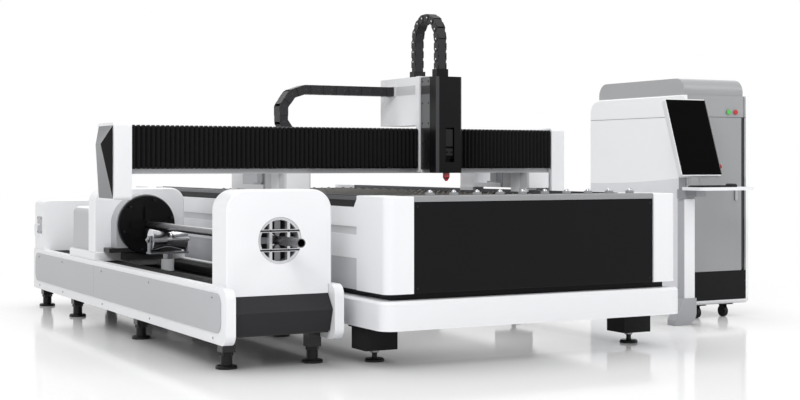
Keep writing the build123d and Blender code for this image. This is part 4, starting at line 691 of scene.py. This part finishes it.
def bevelled_plate(name, body, look, low, high, edge):
    """A plate between two corners with every edge broken by a small round."""
    size = Vector(high) - Vector(low)
    middle = (Vector(high) + Vector(low)) / 2.0
    shape = bmesh.new()
    stretched = Matrix.Translation(middle) @ Matrix.Diagonal((*size, 1.0))
    bmesh.ops.create_cube(shape, size=1.0, matrix=stretched)
    bmesh.ops.bevel(shape, geom=shape.edges[:], offset=edge, segments=2, profile=0.5, affect="EDGES")
    data = bpy.data.meshes.new(name)
    shape.to_mesh(data)
    shape.free()
    data.materials.append(look)
    piece = bpy.data.objects.new(name, data)
    bpy.context.collection.objects.link(piece)
    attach(piece, body)


bevelled_plate(
    "carriage_flange", "carriage", white_coat, FLANGE_LOW, FLANGE_HIGH, edge=0.003
)


def louvres(name, body, look, middle, width, rows, pitch, up=UP):
    """Pressed louvres one above another on a rear face: each is a hood that opens downwards."""
    across = Vector((-1.0, 0.0, 0.0))
    up = Vector(up)
    way = across.cross(up)
    height = HOOD_TALL_SHARE * pitch
    reach = HOOD_REACH_SHARE * height
    half = width / 2.0
    stations = ((-half, HOOD_END_SHARE), (reach - half, 1.0), (half - reach, 1.0), (half, HOOD_END_SHARE))
    points = []
    faces = []
    for row in range(rows):
        first = len(points)
        rise = (row - (rows - 1) / 2.0) * pitch
        for along, swell in stations:
            for out, lift in HOOD_SHARES:
                out_by = out * reach * (swell if out > 0.0 else 1.0)
                up_by = rise + lift * height
                points.append(Vector(middle) + across * along + up * up_by + way * out_by)
        count = len(HOOD_SHARES)
        for ring in range(len(stations) - 1):
            for corner in range(count):
                after = (corner + 1) % count
                low = first + ring * count
                faces.append((low + corner, low + count + corner, low + count + after, low + after))
        faces.append(tuple(range(first, first + count)))
        faces.append(tuple(reversed(range(len(points) - count, len(points)))))
    piece = mesh_piece(name, points, faces, [look])
    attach(piece, body)


carriage_low, carriage_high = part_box("carriage_cover")
louvres(
    "carriage_louvres", "carriage", white_coat,
    ((carriage_low.x + carriage_high.x) / 2.0, carriage_high.y, CARRIAGE_LOUVRE_Z), width=0.13,
    rows=6, pitch=0.026,
)

# Height slide: a box of gray coated plate on the carriage, in which the head rises and falls.
# It is black below, with a dark band of painted groove shade at the bracket's height, and screwed along both
# edges of each side.
LEFT = (-1.0, 0.0, 0.0)
SLIDE_BLACK_TOP = 1.330
SLIDE_GROOVE_SHADE = (1.548, 1.603)
slide_coat = finish(
    "slide_coat", shade(100, 101, 103), 0.42, mottle=0.05,
    zones=(
        (below("Z", SLIDE_BLACK_TOP), shade(18, 18, 20), 0.40),
        (band("Z", *SLIDE_GROOVE_SHADE), shade(26, 26, 28), 0.40),
    ),
)
dress(slide_coat, "z_slide")
slide_low, slide_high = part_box("z_slide")
SLIDE_SCREW_INSET = 0.018
SLIDE_SCREW_HEIGHTS = (1.10, 1.23, 1.36, 1.49, 1.63)
for screw_name, screw_x, screw_way in (
    ("slide_screws_left", slide_low.x, LEFT),
    ("slide_screws_right", slide_high.x, RIGHT),
):
    button_screws(
        screw_name, "carriage", screw_black,
        [
            (screw_x, along, height)
            for along in inset(slide_low.y, slide_high.y, SLIDE_SCREW_INSET)
            for height in SLIDE_SCREW_HEIGHTS
        ],
        screw_way, radius=0.0055,
    )

# Head: a black bent cover round the cutting head, with a chamfered left edge that carries a painted
# highlight.
# A lens drawer with two knobs and a focus unit show in its window.
# The nozzle's holder below is glossy red with a black ring.
HEAD_INSIDE_SHADE = (1.075, 1.60)
DRAWER_X = -0.146
DRAWER_HALF = 0.027
DRAWER_PROUD = 0.006
DRAWER_SUNK = 0.004
LENS_DRAWER = (1.150, 1.196)
FOCUS_UNIT = (1.208, 1.318)
KNOB_REACH = 0.016
KNOB_PROFILE = ((0.0055, 0.0), (0.0055, 0.0035), (0.0042, 0.0050))
NOZZLE_RING = (1.0035, 1.0125)


def chamfer_highlight_mask(place):
    """The cover's slanting left edge, painted lighter as a highlight."""
    return (facing(place, "X") < -0.3) * (facing(place, "Y") < -0.3)


head_coat = finish(
    "head_coat", shade(20, 20, 22), 0.34, sheen=0.12, mottle=0.08,
    zones=((chamfer_highlight_mask, shade(74, 75, 77), 0.3),),
)
dress(head_coat, "head_cover")
# The head's metal is painted near black inside the cover: painted shade seen through the window.
head_metal = finish(
    "head_metal", shade(150, 152, 156), 0.30, metal=0.9, mottle=0.05, grain=800.0, brush=(1.0, 1.0, 0.03),
    zones=((band("Z", *HEAD_INSIDE_SHADE), shade(11, 11, 12), 0.5),),
)
dress(head_metal, "cutting_head")
head_low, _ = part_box("cutting_head")
drawer_black = finish("drawer_black", shade(30, 30, 32), 0.36, sheen=0.2, mottle=0.10, grain=1200.0)
for drawer_name, (drawer_low, drawer_high) in (("lens_drawer", LENS_DRAWER), ("focus_unit", FOCUS_UNIT)):
    bevelled_plate(
        drawer_name, "head", drawer_black,
        (DRAWER_X - DRAWER_HALF, head_low.y - DRAWER_PROUD, drawer_low),
        (DRAWER_X + DRAWER_HALF, head_low.y + DRAWER_SUNK, drawer_high), edge=0.0025,
    )
turned_set(
    "drawer_knobs", "head", head_metal,
    [
        (DRAWER_X + side * KNOB_REACH, head_low.y - DRAWER_PROUD, sum(LENS_DRAWER) / 2.0)
        for side in (-1.0, 1.0)
    ],
    FRONT, KNOB_PROFILE, sides=14,
)
nozzle_red = finish(
    "nozzle_red", shade(240, 26, 54), 0.24, mottle=0.05, coat=0.6,
    zones=((band("Z", *NOZZLE_RING), shade(24, 18, 20), 0.3),),
)
dress(nozzle_red, "nozzle")

# Drag chains: moulded nylon links that snap together on pins and carry the cables.
# One end of each is bolted to what stands still, the other to what moves.
PLATE = 0.0045
LID = 0.005
LINK_INNER_SHARE = 0.1
LINK_END_SHARE = 0.62
PIN_PROUD = 0.0012
END_STEPS = 7
PIN_STEPS = 10
BRACKET_TOP = 1.66
bracket_coat = finish(
    "bracket_coat", shade(34, 34, 36), 0.42, sheen=0.2, mottle=0.08, grain=1000.0, lift=0.0001,
    zones=((below("Z", BRACKET_TOP), shade(206, 207, 209), 0.4),),
)
dress(bracket_coat, "chain_brackets")
chain_plastic = finish(
    "chain_plastic", shade(46, 46, 48), 0.46, sheen=0.2, mottle=0.10, grain=1500.0, lift=0.0001,
    spread=0.14,
)
pin_white = finish("pin_white", shade(232, 232, 233), 0.35, mottle=0.03)
pin_black = finish("pin_black", shade(40, 40, 42), 0.4, mottle=0.08)


def chain_piece(name, pins, outward, across, width, thickness, pin_radius, pin_look):
    """Links between neighbouring pins; outward gives each link's outer side."""
    points = []
    faces = []
    picks = []

    def solid(outline, low, high, place, look):
        """A flat plate: its outline in the link's own length and height, between two sides."""
        first = len(points)
        count = len(outline)
        for side in (low, high):
            points.extend(place(along, up, side) for along, up in outline)
        faces.append(tuple(range(first, first + count)))
        faces.append(tuple(reversed(range(first + count, first + 2 * count))))
        for index in range(count):
            after = (index + 1) % count
            faces.append((first + index, first + count + index, first + count + after, first + after))
        picks.extend([look] * (count + 2))

    for start, end, up_way in zip(pins[:-1], pins[1:], outward):
        length = (end - start).length
        along_way = (end - start).normalized()
        middle = (start + end) / 2.0
        half = thickness / 2.0

        def place(along, up, side, middle=middle, along_way=along_way, up_way=up_way):
            return middle + along_way * along + up_way * up + across * side

        for hand in (-1.0, 1.0):
            outer = hand * width / 2.0
            for end_hand, plate_out in ((-1.0, outer), (1.0, outer - hand * PLATE)):
                inner_end = -end_hand * LINK_INNER_SHARE * length
                outline = [(inner_end, -half), (inner_end, half)]
                for step in range(END_STEPS + 1):
                    turn = math.pi * step / END_STEPS
                    round_end = length / 2.0 + half * LINK_END_SHARE * math.sin(turn)
                    outline.append((end_hand * round_end, half * math.cos(turn)))
                sides = sorted((plate_out, plate_out - hand * PLATE))
                solid(outline, sides[0], sides[1], place, 0)
            ring = []
            for step in range(PIN_STEPS):
                turn = 2.0 * math.pi * step / PIN_STEPS
                ring.append((-length / 2.0 + pin_radius * math.cos(turn), pin_radius * math.sin(turn)))
            sides = sorted((outer, outer + hand * PIN_PROUD))
            solid(ring, sides[0], sides[1], place, 1)
        inner = width / 2.0 - 2.0 * PLATE
        for level in (half - LID, -half):
            lid = [
                (-0.5 * length, level),
                (0.5 * length, level),
                (0.5 * length, level + LID),
                (-0.5 * length, level + LID),
            ]
            solid(lid, -inner, inner, place, 0)
    return mesh_piece(name, points, faces, [chain_plastic, pin_look], picks=picks)


def straight_pins(start, end, count):
    """Pins evenly along a straight run."""
    return [Vector(start).lerp(Vector(end), index / count) for index in range(count + 1)]


def bent_pins(centre, radius, first_way, middle_way, count):
    """Pins round a half turn that begins one way and passes another, with the links' outer sides."""
    pins = []
    outward = []
    for index in range(count + 1):
        turn = math.pi * index / count
        half_turn = math.pi * (index + 0.5) / count
        pins.append(centre + radius * (first_way * math.cos(turn) + middle_way * math.sin(turn)))
        outward.append(first_way * math.cos(half_turn) + middle_way * math.sin(half_turn))
    return pins, outward


FAR = 10000.0


def hold(piece, still, moving, share):
    """Bakes the piece's place into its points; it does not follow the moving body."""
    start = Vector((0.0, -FAR * eased(share), 0.0))
    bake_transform(piece)


def drag_chain(node, bodies, names, places, links, bend_share, across, **link):
    """A chain in three runs: from the moving end to the bend, the bend, and on to the still end.

    The places are the moving end, the bend's two ends and the still end; link holds a link's sizes.
    """
    start, turn_in, turn_out, last = (Vector(place) for place in places)
    centre = (turn_in + turn_out) / 2.0
    first_way = (turn_in - centre).normalized()
    middle_way = (turn_in - start).normalized()
    bend_pins, bend_outward = bent_pins(centre, (turn_in - centre).length, first_way, middle_way, links[1])
    runs = (
        (straight_pins(start, turn_in, links[0]), [first_way] * links[0], bend_share, 1.0),
        (bend_pins, bend_outward, bend_share, bend_share),
        (straight_pins(turn_out, last, links[2]), [-first_way] * links[2], 0.0, bend_share),
    )
    for name, (pins, outward, low, high) in zip(names, runs):
        chain = chain_piece(name, pins, outward, Vector(across), **link)
        if low == high:
            hold(chain, *bodies, low)
        else:
            stretch(chain, *bodies, pins[-1], pins[0], low, high)
        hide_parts(node)


CROSS_Y = -0.4445
CROSS_HIGH = 1.5815
CROSS_LOW = 1.258
CROSS_BEND_X = -0.8985
CROSS_START_X = -0.2525
CROSS_LAST_X = -0.1015
drag_chain(
    "x_chain",
    ("gantry", "carriage"),
    ("cross_chain_upper", "cross_chain_bend", "cross_chain_lower"),
    (
        (CROSS_START_X, CROSS_Y, CROSS_HIGH),
        (CROSS_BEND_X, CROSS_Y, CROSS_HIGH),
        (CROSS_BEND_X, CROSS_Y, CROSS_LOW),
        (CROSS_LAST_X, CROSS_Y, CROSS_LOW),
    ),
    links=(7, 5, 8),
    bend_share=0.70,
    across=BACK,
    width=0.0975,
    thickness=0.059,
    pin_radius=0.0065,
    pin_look=pin_black,
)
RISE_X = -0.1925
RISE_FRONT = -1.012
RISE_REAR = -0.712
RISE_FOOT = 1.704
RISE_BEND_Z = 1.897
drag_chain(
    "z_chain",
    ("carriage", "head"),
    ("rise_chain_front", "rise_chain_top", "rise_chain_rear"),
    (
        (RISE_X, RISE_FRONT, RISE_FOOT),
        (RISE_X, RISE_FRONT, RISE_BEND_Z),
        (RISE_X, RISE_REAR, RISE_BEND_Z),
        (RISE_X, RISE_REAR, RISE_FOOT),
    ),
    links=(3, 7, 3),
    bend_share=0.5,
    across=RIGHT,
    width=0.068,
    thickness=0.047,
    pin_radius=0.0055,
    pin_look=pin_white,
)

# Tube unit frame: two long white cheeks on a deck, with gray side panels and a black front apron.
# The deck between the cheeks and the legs under it are sprayed black; the slab under the deck is painted
# black too, as the shade under the apron.
# The side panels are two sheets that meet in a fine join, held by rows of zinc screws.
TUBE_X = -1.674
TROUGH_HALF = 0.2855
TROUGH = (0.0, 0.4035)
LEG_TOP = 0.1435
SHEET_JOIN = (0.4785, 0.4815)
SHEET_SCREW_Z = 0.390
CHEEK_SCREW_Z = 0.174
SHEET_SCREW_SHARES = (0.03, 0.30, 0.55, 0.80, 0.97)


def trough_and_shade_mask(place):
    """The deck between the cheeks, and the slab under it painted dark as the shade under the apron."""
    inside = between(place, "X", TUBE_X - TROUGH_HALF, TUBE_X + TROUGH_HALF)
    return inside * between(place, "Z", *TROUGH)


tube_coat = white_powder(
    "tube_coat", (trough_and_shade_mask, shade(27, 27, 29), 0.5), (below("Z", LEG_TOP), shade(21, 21, 23), 0.42)
)
panel_gray = finish(
    "panel_gray", shade(180, 181, 184), 0.38, mottle=0.02, coat=0.1,
    zones=((band("Y", *SHEET_JOIN), shade(128, 129, 131), 0.5),),
)
apron_coat = finish("apron_coat", shade(46, 46, 48), 0.44, sheen=0.15, mottle=0.07)
dress(tube_coat, "tube_frame")
dress(panel_gray, "tube_side_panels")
dress(apron_coat, "tube_apron")
sheet_low, sheet_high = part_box("tube_side_panels")
cheek_low, cheek_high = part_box("tube_frame")
screw_stations = [sheet_low.y + share * (sheet_high.y - sheet_low.y) for share in SHEET_SCREW_SHARES]
for screw_name, screw_x, screw_z, screw_way in (
    ("tube_panel_screws_left", sheet_low.x, SHEET_SCREW_Z, LEFT),
    ("tube_panel_screws_right", sheet_high.x, SHEET_SCREW_Z, RIGHT),
    ("tube_cheek_screws_left", cheek_low.x, CHEEK_SCREW_Z, LEFT),
    ("tube_cheek_screws_right", cheek_high.x, CHEEK_SCREW_Z, RIGHT),
):
    screw_spots = [(screw_x, station, screw_z) for station in screw_stations]
    button_screws(screw_name, "base", nut_zinc, screw_spots, screw_way, radius=0.007)

# Way covers: narrow folded covers over the tube unit's rails, of the same cloth as the bellows.
# They are fixed to the front housing and the end box and pulled by the rear chuck.
WAY_INNER = 0.148
WAY_OUTER = 0.283
WAY_LOW = 0.404
WAY_HIGH = 0.440
WAY_IN = 0.010


def way_section(hand, valley):
    """A way cover's outline across the rail on one side of the tube's axis."""
    depth = WAY_IN if valley else 0.0
    inner = TUBE_X + hand * (WAY_INNER + depth / 2.0)
    outer = TUBE_X + hand * (WAY_OUTER - depth / 2.0)
    high = WAY_HIGH - depth
    return [
        (inner, WAY_LOW), (inner, high - FOLD_CORNER), (inner + hand * FOLD_CORNER, high),
        (outer - hand * FOLD_CORNER, high), (outer, high - FOLD_CORNER), (outer, WAY_LOW),
    ]


for way_name, way_start, way_end, fold_count, part_count, low_share, high_share in (
    ("front_way", -1.659, 0.548, 76, 4, 0.0, 1.0),
    ("rear_way", 1.178, 1.854, 24, 4, 1.0, 0.0),
):
    folds_each = fold_count // part_count
    for part in range(part_count):
        for hand, hand_name in ((-1.0, "left"), (1.0, "right")):
            pleats(
                f"{way_name}_{hand_name}_{part}", "way_covers", ("base", "rear_chuck"),
                lambda along, across, rise: (across, along, rise),
                lambda valley, hand=hand: way_section(hand, valley), way_start,
                (way_end - way_start) / fold_count, (part * folds_each, (part + 1) * folds_each),
                shared_out(low_share, high_share, part, part_count),
            )

# Front chuck: a rounded white housing with a turning ring of bright bars and four jaws.
# The bars are ground steel, screwed together where they cross; the slot along each is painted dark as shade,
# not cut.
# A dark plate in the ring behind the jaws stands for the shade inside the ring.
AXIS_Z = 0.687
BAR_REACH = 0.052
BAR_SLOT_SHADE = 0.0045
SHADE_PLATE_GAP = 0.007
SHADE_PLATE_THICK = 0.006
SHADE_PLATE_OUTER = 0.1105
SHADE_PLATE_INNER = 0.034


def bar_slot_shade(hand):
    """A mask of the painted slot shade along the upper or the lower bar."""
    middle = AXIS_Z + hand * BAR_REACH
    return band("Z", middle - BAR_SLOT_SHADE, middle + BAR_SLOT_SHADE)


rotor_metal = finish(
    "rotor_metal", shade(205, 206, 209), 0.28, metal=0.55, mottle=0.05, grain=900.0,
    zones=((bar_slot_shade(1.0), shade(40, 40, 42), 0.4), (bar_slot_shade(-1.0), shade(40, 40, 42), 0.4)),
)
jaw_steel = finish(
    "jaw_steel", shade(120, 121, 124), 0.32, metal=0.9, mottle=0.10, grain=700.0, brush=(1.0, 0.05, 1.0)
)
dress(white_coat, "front_housing")
dress(rotor_metal, "front_rotor")
dress(jaw_steel, "front_jaws")
rotor_low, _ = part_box("front_rotor")
_, jaw_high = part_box("front_jaws")
turned_set(
    "rotor_shade_plate", "front_rotor", drawer_black,
    [(TUBE_X, jaw_high.y + SHADE_PLATE_GAP, AXIS_Z)], FRONT,
    [(SHADE_PLATE_OUTER, 0.0), (SHADE_PLATE_OUTER, SHADE_PLATE_THICK), (SHADE_PLATE_INNER, SHADE_PLATE_THICK), (SHADE_PLATE_INNER, 0.0)], sides=48,
    hollow=True,
)
button_screws(
    "rotor_bar_screws", "front_rotor", screw_black,
    [
        (TUBE_X + right * BAR_REACH, rotor_low.y, AXIS_Z + top * BAR_REACH)
        for right in (-1.0, 1.0)
        for top in (-1.0, 1.0)
    ],
    FRONT, radius=0.006, socket=0.0026,
)

# Rear chuck and end box: a white arch and a motor cover on a sliding base, with a gray bearing block.
# The black clamping disc turns in the block and holds the end of the tube.
# The end box closes the rails, with louvres behind, and on its left side a gray plate round the grip that
# stands for the shade of the grip's recess.
BOSS_FOOT_TOP = 0.5305
NOSE_END = 0.5475
DISC_SCREW_REACH = 0.172
DISC_SCREW_TURNS = range(15, 375, 60)
DISC_SCREW_PROFILE = ((0.009, 0.0), (0.009, 0.006), (0.008, 0.007))
GRIP_MIDDLE = (1.998, 0.630)
GRIP_PLATE = 0.003
GRIP_PLATE_HALF = 0.066
GRIP_SCREW_REACH = 0.052
BOX_HALF = 0.331
BOX_SIDE = TUBE_X - BOX_HALF
boss_gray = finish(
    "boss_gray", shade(172, 173, 176), 0.38, mottle=0.03,
    zones=((below("Z", BOSS_FOOT_TOP), shade(30, 30, 32), 0.42),),
)
slide_base_coat = white_powder("slide_base_coat", (below("Y", NOSE_END), shade(27, 27, 29), 0.5))
motor_coat = white_powder("motor_coat", (turned_to("X", -0.6), shade(182, 183, 186), 0.4))
disc_black = finish("disc_black", shade(17, 17, 19), 0.26, sheen=0.15, mottle=0.12, grain=900.0)
dress(slide_base_coat, "rear_carriage")
dress(white_coat, "rear_housing", "end_box")
dress(boss_gray, "rear_boss")
dress(motor_coat, "motor_cover")
dress(disc_black, "rear_disc")
disc_low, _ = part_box("rear_disc")
turned_set(
    "disc_screws", "rear_rotor", screw_black,
    [
        (
            TUBE_X + DISC_SCREW_REACH * math.cos(math.radians(angle)),
            disc_low.y,
            AXIS_Z + DISC_SCREW_REACH * math.sin(math.radians(angle)),
        )
        for angle in DISC_SCREW_TURNS
    ],
    FRONT, DISC_SCREW_PROFILE, socket=0.0042,
)
for louvre_name, louvre_node, louvre_body, louvre_z, louvre_width, louvre_rows in (
    ("end_box_louvres", "end_box", "base", 0.655, 0.34, 7),
    ("motor_case_louvres", "motor_cover", "rear_chuck", 0.65, 0.30, 6),
):
    _, case_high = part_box(louvre_node)
    louvres(
        louvre_name, louvre_body, white_coat, (TUBE_X, case_high.y, louvre_z),
        louvre_width, louvre_rows, pitch=0.030,
    )
# The gray plate round the grip is painted shade of the grip's recess.
grip_recess_shade = finish("grip_recess_shade", shade(176, 177, 180), 0.40, mottle=0.03)
bevelled_plate(
    "grip_shade_plate", "base", grip_recess_shade,
    (BOX_SIDE - GRIP_PLATE, GRIP_MIDDLE[0] - GRIP_PLATE_HALF, GRIP_MIDDLE[1] - GRIP_PLATE_HALF),
    (BOX_SIDE + GRIP_PLATE, GRIP_MIDDLE[0] + GRIP_PLATE_HALF, GRIP_MIDDLE[1] + GRIP_PLATE_HALF),
    edge=0.002,
)
button_screws(
    "grip_screws", "base", screw_black,
    [
        (BOX_SIDE - GRIP_PLATE, GRIP_MIDDLE[0] + aside, GRIP_MIDDLE[1] + rise)
        for aside in (-GRIP_SCREW_REACH, GRIP_SCREW_REACH)
        for rise in (-GRIP_SCREW_REACH, GRIP_SCREW_REACH)
    ],
    LEFT, radius=0.0055, socket=0.0024,
)

# Roller support and tube: a waisted roller of polished steel on a forked stand.
# A lock nut holds the roller's pin on each side, and the stand rises and falls under the tube.
# The work tube is drawn steel with faint marks along it.
ROLLER_NUT_PROFILE = (
    (0.0165, 0.0005), (0.018, 0.002), (0.018, 0.009), (0.0165, 0.011), (0.010, 0.011), (0.010, 0.016),
    (0.008, 0.018),
)
fork_steel = finish(
    "fork_steel", shade(134, 135, 138), 0.26, metal=1.0, mottle=0.06, grain=600.0, brush=(1.0, 1.0, 0.05)
)
# The roller's left end faces are painted lighter: a painted highlight.
roller_steel_highlit = finish(
    "roller_steel_highlit", shade(182, 182, 185), 0.20, metal=1.0, mottle=0.10, grain=500.0,
    brush=(0.1, 1.0, 1.0), zones=((turned_to("X", -0.7), shade(226, 227, 230), 0.24),),
)
drawn_steel = finish(
    "drawn_steel", shade(112, 112, 114), 0.30, metal=1.0, mottle=0.10, grain=800.0,
    brush=(1.0, 0.01, 1.0), spread=0.2,
)
dress(fork_steel, "roller_bracket")
dress(roller_steel_highlit, "roller")
dress(drawn_steel, "work_tube")
roller_low, roller_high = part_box("roller")
for nut_name, nut_x, nut_way in (
    ("roller_nut_left", roller_low.x, LEFT),
    ("roller_nut_right", roller_high.x, RIGHT),
):
    turned_set(
        nut_name, "roller", nut_zinc,
        [(nut_x, (roller_low.y + roller_high.y) / 2.0, (roller_low.z + roller_high.z) / 2.0)], nut_way,
        ROLLER_NUT_PROFILE, sides=6,
    )

# Cabinet: a black carcass between white wrapped sides under a gray cap.
# The sides are white, with a painted reflection below a curved line, and a seam at the height of the fascia.
# The gray door hangs on the carcass; louvres and cable glands are at the back, casters below.
SIDE_SEAM = (1.4285, 1.4335)
REFLECTION_LINE_REAR = 0.951
REFLECTION_LINE_BOW = 0.050
CABINET_REAR = 0.060
CABINET_LONG = 1.116
DOOR_EDGE = 2.279
GLAND_Z = 0.215
GLAND_PITCH = 0.075
GLAND_PROFILE = (
    (0.024, 0.0), (0.024, 0.007), (0.019, 0.008), (0.019, 0.012), (0.022, 0.013), (0.021, 0.030),
    (0.014, 0.036),
)


def off_front(place):
    """Every face but those that look to the front."""
    return facing(place, "Y") > -0.3


def swoosh_reflection_mask(place):
    """The painted reflection below the curved line on a cabinet side."""
    share = (CABINET_REAR - axis_of(place, "Y")) * (1.0 / CABINET_LONG)
    under_reflection_line = axis_of(place, "Z") < REFLECTION_LINE_REAR + share * share * REFLECTION_LINE_BOW
    return under_reflection_line * off_front(place)


def seam_mask(place):
    """The seam on a cabinet side."""
    return between(place, "Z", *SIDE_SEAM) * off_front(place)


cabinet_coat = finish(
    "cabinet_coat", shade(249, 250, 251), 0.34, mottle=0.012, coat=0.2,
    zones=((swoosh_reflection_mask, shade(228, 229, 231), 0.38), (seam_mask, shade(150, 151, 153), 0.6)),
)
carcass_black = finish("carcass_black", shade(24, 24, 26), 0.36, sheen=0.12, mottle=0.08)
# The cap's front faces are painted darker than its sides: painted shade.
cap_gray = finish(
    "cap_gray", shade(171, 172, 174), 0.36, mottle=0.02, coat=0.15,
    zones=((turned_to("Y", -0.5), shade(158, 159, 161), 0.36),),
)
door_gray = finish(
    "door_gray", shade(154, 155, 157), 0.36, mottle=0.02, coat=0.15,
    zones=((above("X", DOOR_EDGE), shade(24, 24, 26), 0.36),),
)
dress(cabinet_coat, "cabinet_sides")
dress(carcass_black, "cabinet_body")
dress(cap_gray, "cabinet_cap")
dress(door_gray, "cabinet_door")
dress(chrome, "door_handle")
caster_black = finish(
    "caster_black", shade(28, 28, 30), 0.45, sheen=0.2, mottle=0.1, grain=900.0, lift=0.0001
)
dress(caster_black, "casters")
carcass_low, carcass_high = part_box("cabinet_body")
cabinet_middle = (carcass_low.x + carcass_high.x) / 2.0
for louvre_name, louvre_z in (("cabinet_louvres_high", 1.26), ("cabinet_louvres_low", 0.46)):
    louvres(
        louvre_name, "base", carcass_black, (cabinet_middle, carcass_high.y, louvre_z),
        width=0.36, rows=9, pitch=0.030,
    )
turned_set(
    "cabinet_glands", "base", screw_black,
    [(cabinet_middle + step * GLAND_PITCH, carcass_high.y, GLAND_Z) for step in (-2, -1, 0, 1, 2)], BACK,
    GLAND_PROFILE, sides=18,
)

# Push buttons: moulded caps, a green one and a red one on the cabinet's fascia.
# A red mushroom cap for emergencies is at the screen's right edge.
# Each is pushed into a pale metal collar that is clamped in the sheet.
BUTTON_COLLAR = -1.0585
MUSHROOM_COLLAR = 0.004


def button_finish(name, colour, collar):
    """A glossy moulded cap with a pale metal collar where it meets the panel."""
    return finish(name, colour, 0.20, mottle=0.05, coat=0.5, zones=((collar, shade(205, 206, 208), 0.2),))


mushroom_low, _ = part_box("emergency_button")
mushroom_foot = mushroom_low.x + MUSHROOM_COLLAR
green_cap = button_finish("green_cap", shade(70, 190, 72), above("Y", BUTTON_COLLAR))
red_cap = button_finish("red_cap", shade(186, 22, 30), above("Y", BUTTON_COLLAR))
stop_cap = button_finish("stop_cap", shade(186, 22, 30), below("X", mushroom_foot))
dress(green_cap, "start_button")
dress(red_cap, "stop_button")
dress(stop_cap, "emergency_button")

# Console: a square post, white with a gray left side, standing in a curved gray foot.
# A cast gray hub with a light neck carries the tray and the tilting screen.
# The screen is a black glass in a bent white frame; a keyboard and a mouse lie on the tray.
FOOT_JOIN = 0.1825
NECK_FOOT = 0.944
NECK_LEFT = 1.575
GLASS_RIGHT = 1.7745
GLASS_IOR = 1.15
SCREEN_FOOT = Vector((1.606, -1.426, 1.019))
SCREEN_LEAN = math.radians(19.0)
SCREEN_UP = Vector((0.0, math.sin(SCREEN_LEAN), math.cos(SCREEN_LEAN)))
SCREEN_BACK = Vector((0.0, math.cos(SCREEN_LEAN), -math.sin(SCREEN_LEAN)))
SCREEN_THICK = 0.038
SCREEN_LOUVRE_RISE = 0.42
SCREEN_SCREW_REACH = 0.152
SCREEN_SCREW_RISES = (0.024, 0.529)
post_coat = white_powder(
    "post_coat",
    (turned_to("X", -0.6), shade(176, 177, 180), 0.4),
    (below("Z", FOOT_JOIN), shade(168, 169, 172), 0.4),
)


def neck_mask(place):
    """The hub's neck under the screen."""
    return (axis_of(place, "Z") > NECK_FOOT) * (axis_of(place, "X") > NECK_LEFT)


hub_gray = finish(
    "hub_gray", shade(146, 147, 150), 0.42, mottle=0.05, grain=800.0, lift=0.0001,
    zones=((neck_mask, shade(226, 227, 229), 0.4),),
)
dress(post_coat, "console_stand")
dress(hub_gray, "console_hub")
dress(white_coat, "console_tray")


def right_rim_mask(place):
    """The frame's front face at the right of the glass."""
    return (axis_of(place, "X") > GLASS_RIGHT) * (facing(place, "Y") < -0.5)


frame_coat = finish(
    "frame_coat", shade(226, 227, 229), 0.36, mottle=0.012, coat=0.15,
    zones=((right_rim_mask, shade(12, 12, 13), 0.2),),
)
dress(frame_coat, "screen_frame")
screen_black = finish(
    "screen_black", shade(7, 7, 8), 0.12, sheen=0.05, mottle=0.06, grain=500.0, lift=0.00001, spread=0.03
)
dress(screen_black, "screen_glass")
screen_black.node_tree.nodes["Principled BSDF"].inputs["IOR"].default_value = GLASS_IOR
screen_rear = SCREEN_FOOT + SCREEN_BACK * SCREEN_THICK
louvres(
    "screen_louvres", "screen", frame_coat, screen_rear + SCREEN_UP * SCREEN_LOUVRE_RISE,
    width=0.20, rows=6, pitch=0.020, up=SCREEN_UP,
)
button_screws(
    "screen_screws", "screen", screw_black,
    [
        screen_rear + SCREEN_UP * rise + Vector((along, 0.0, 0.0))
        for along in (-SCREEN_SCREW_REACH, SCREEN_SCREW_REACH)
        for rise in SCREEN_SCREW_RISES
    ],
    SCREEN_BACK, radius=0.0055, socket=0.0024,
)
key_plastic = finish(
    "key_plastic", shade(30, 30, 32), 0.50, sheen=0.2, mottle=0.08, grain=2600.0, lift=0.00008,
    spread=0.14,
)
dress(key_plastic, "keyboard", "mouse")
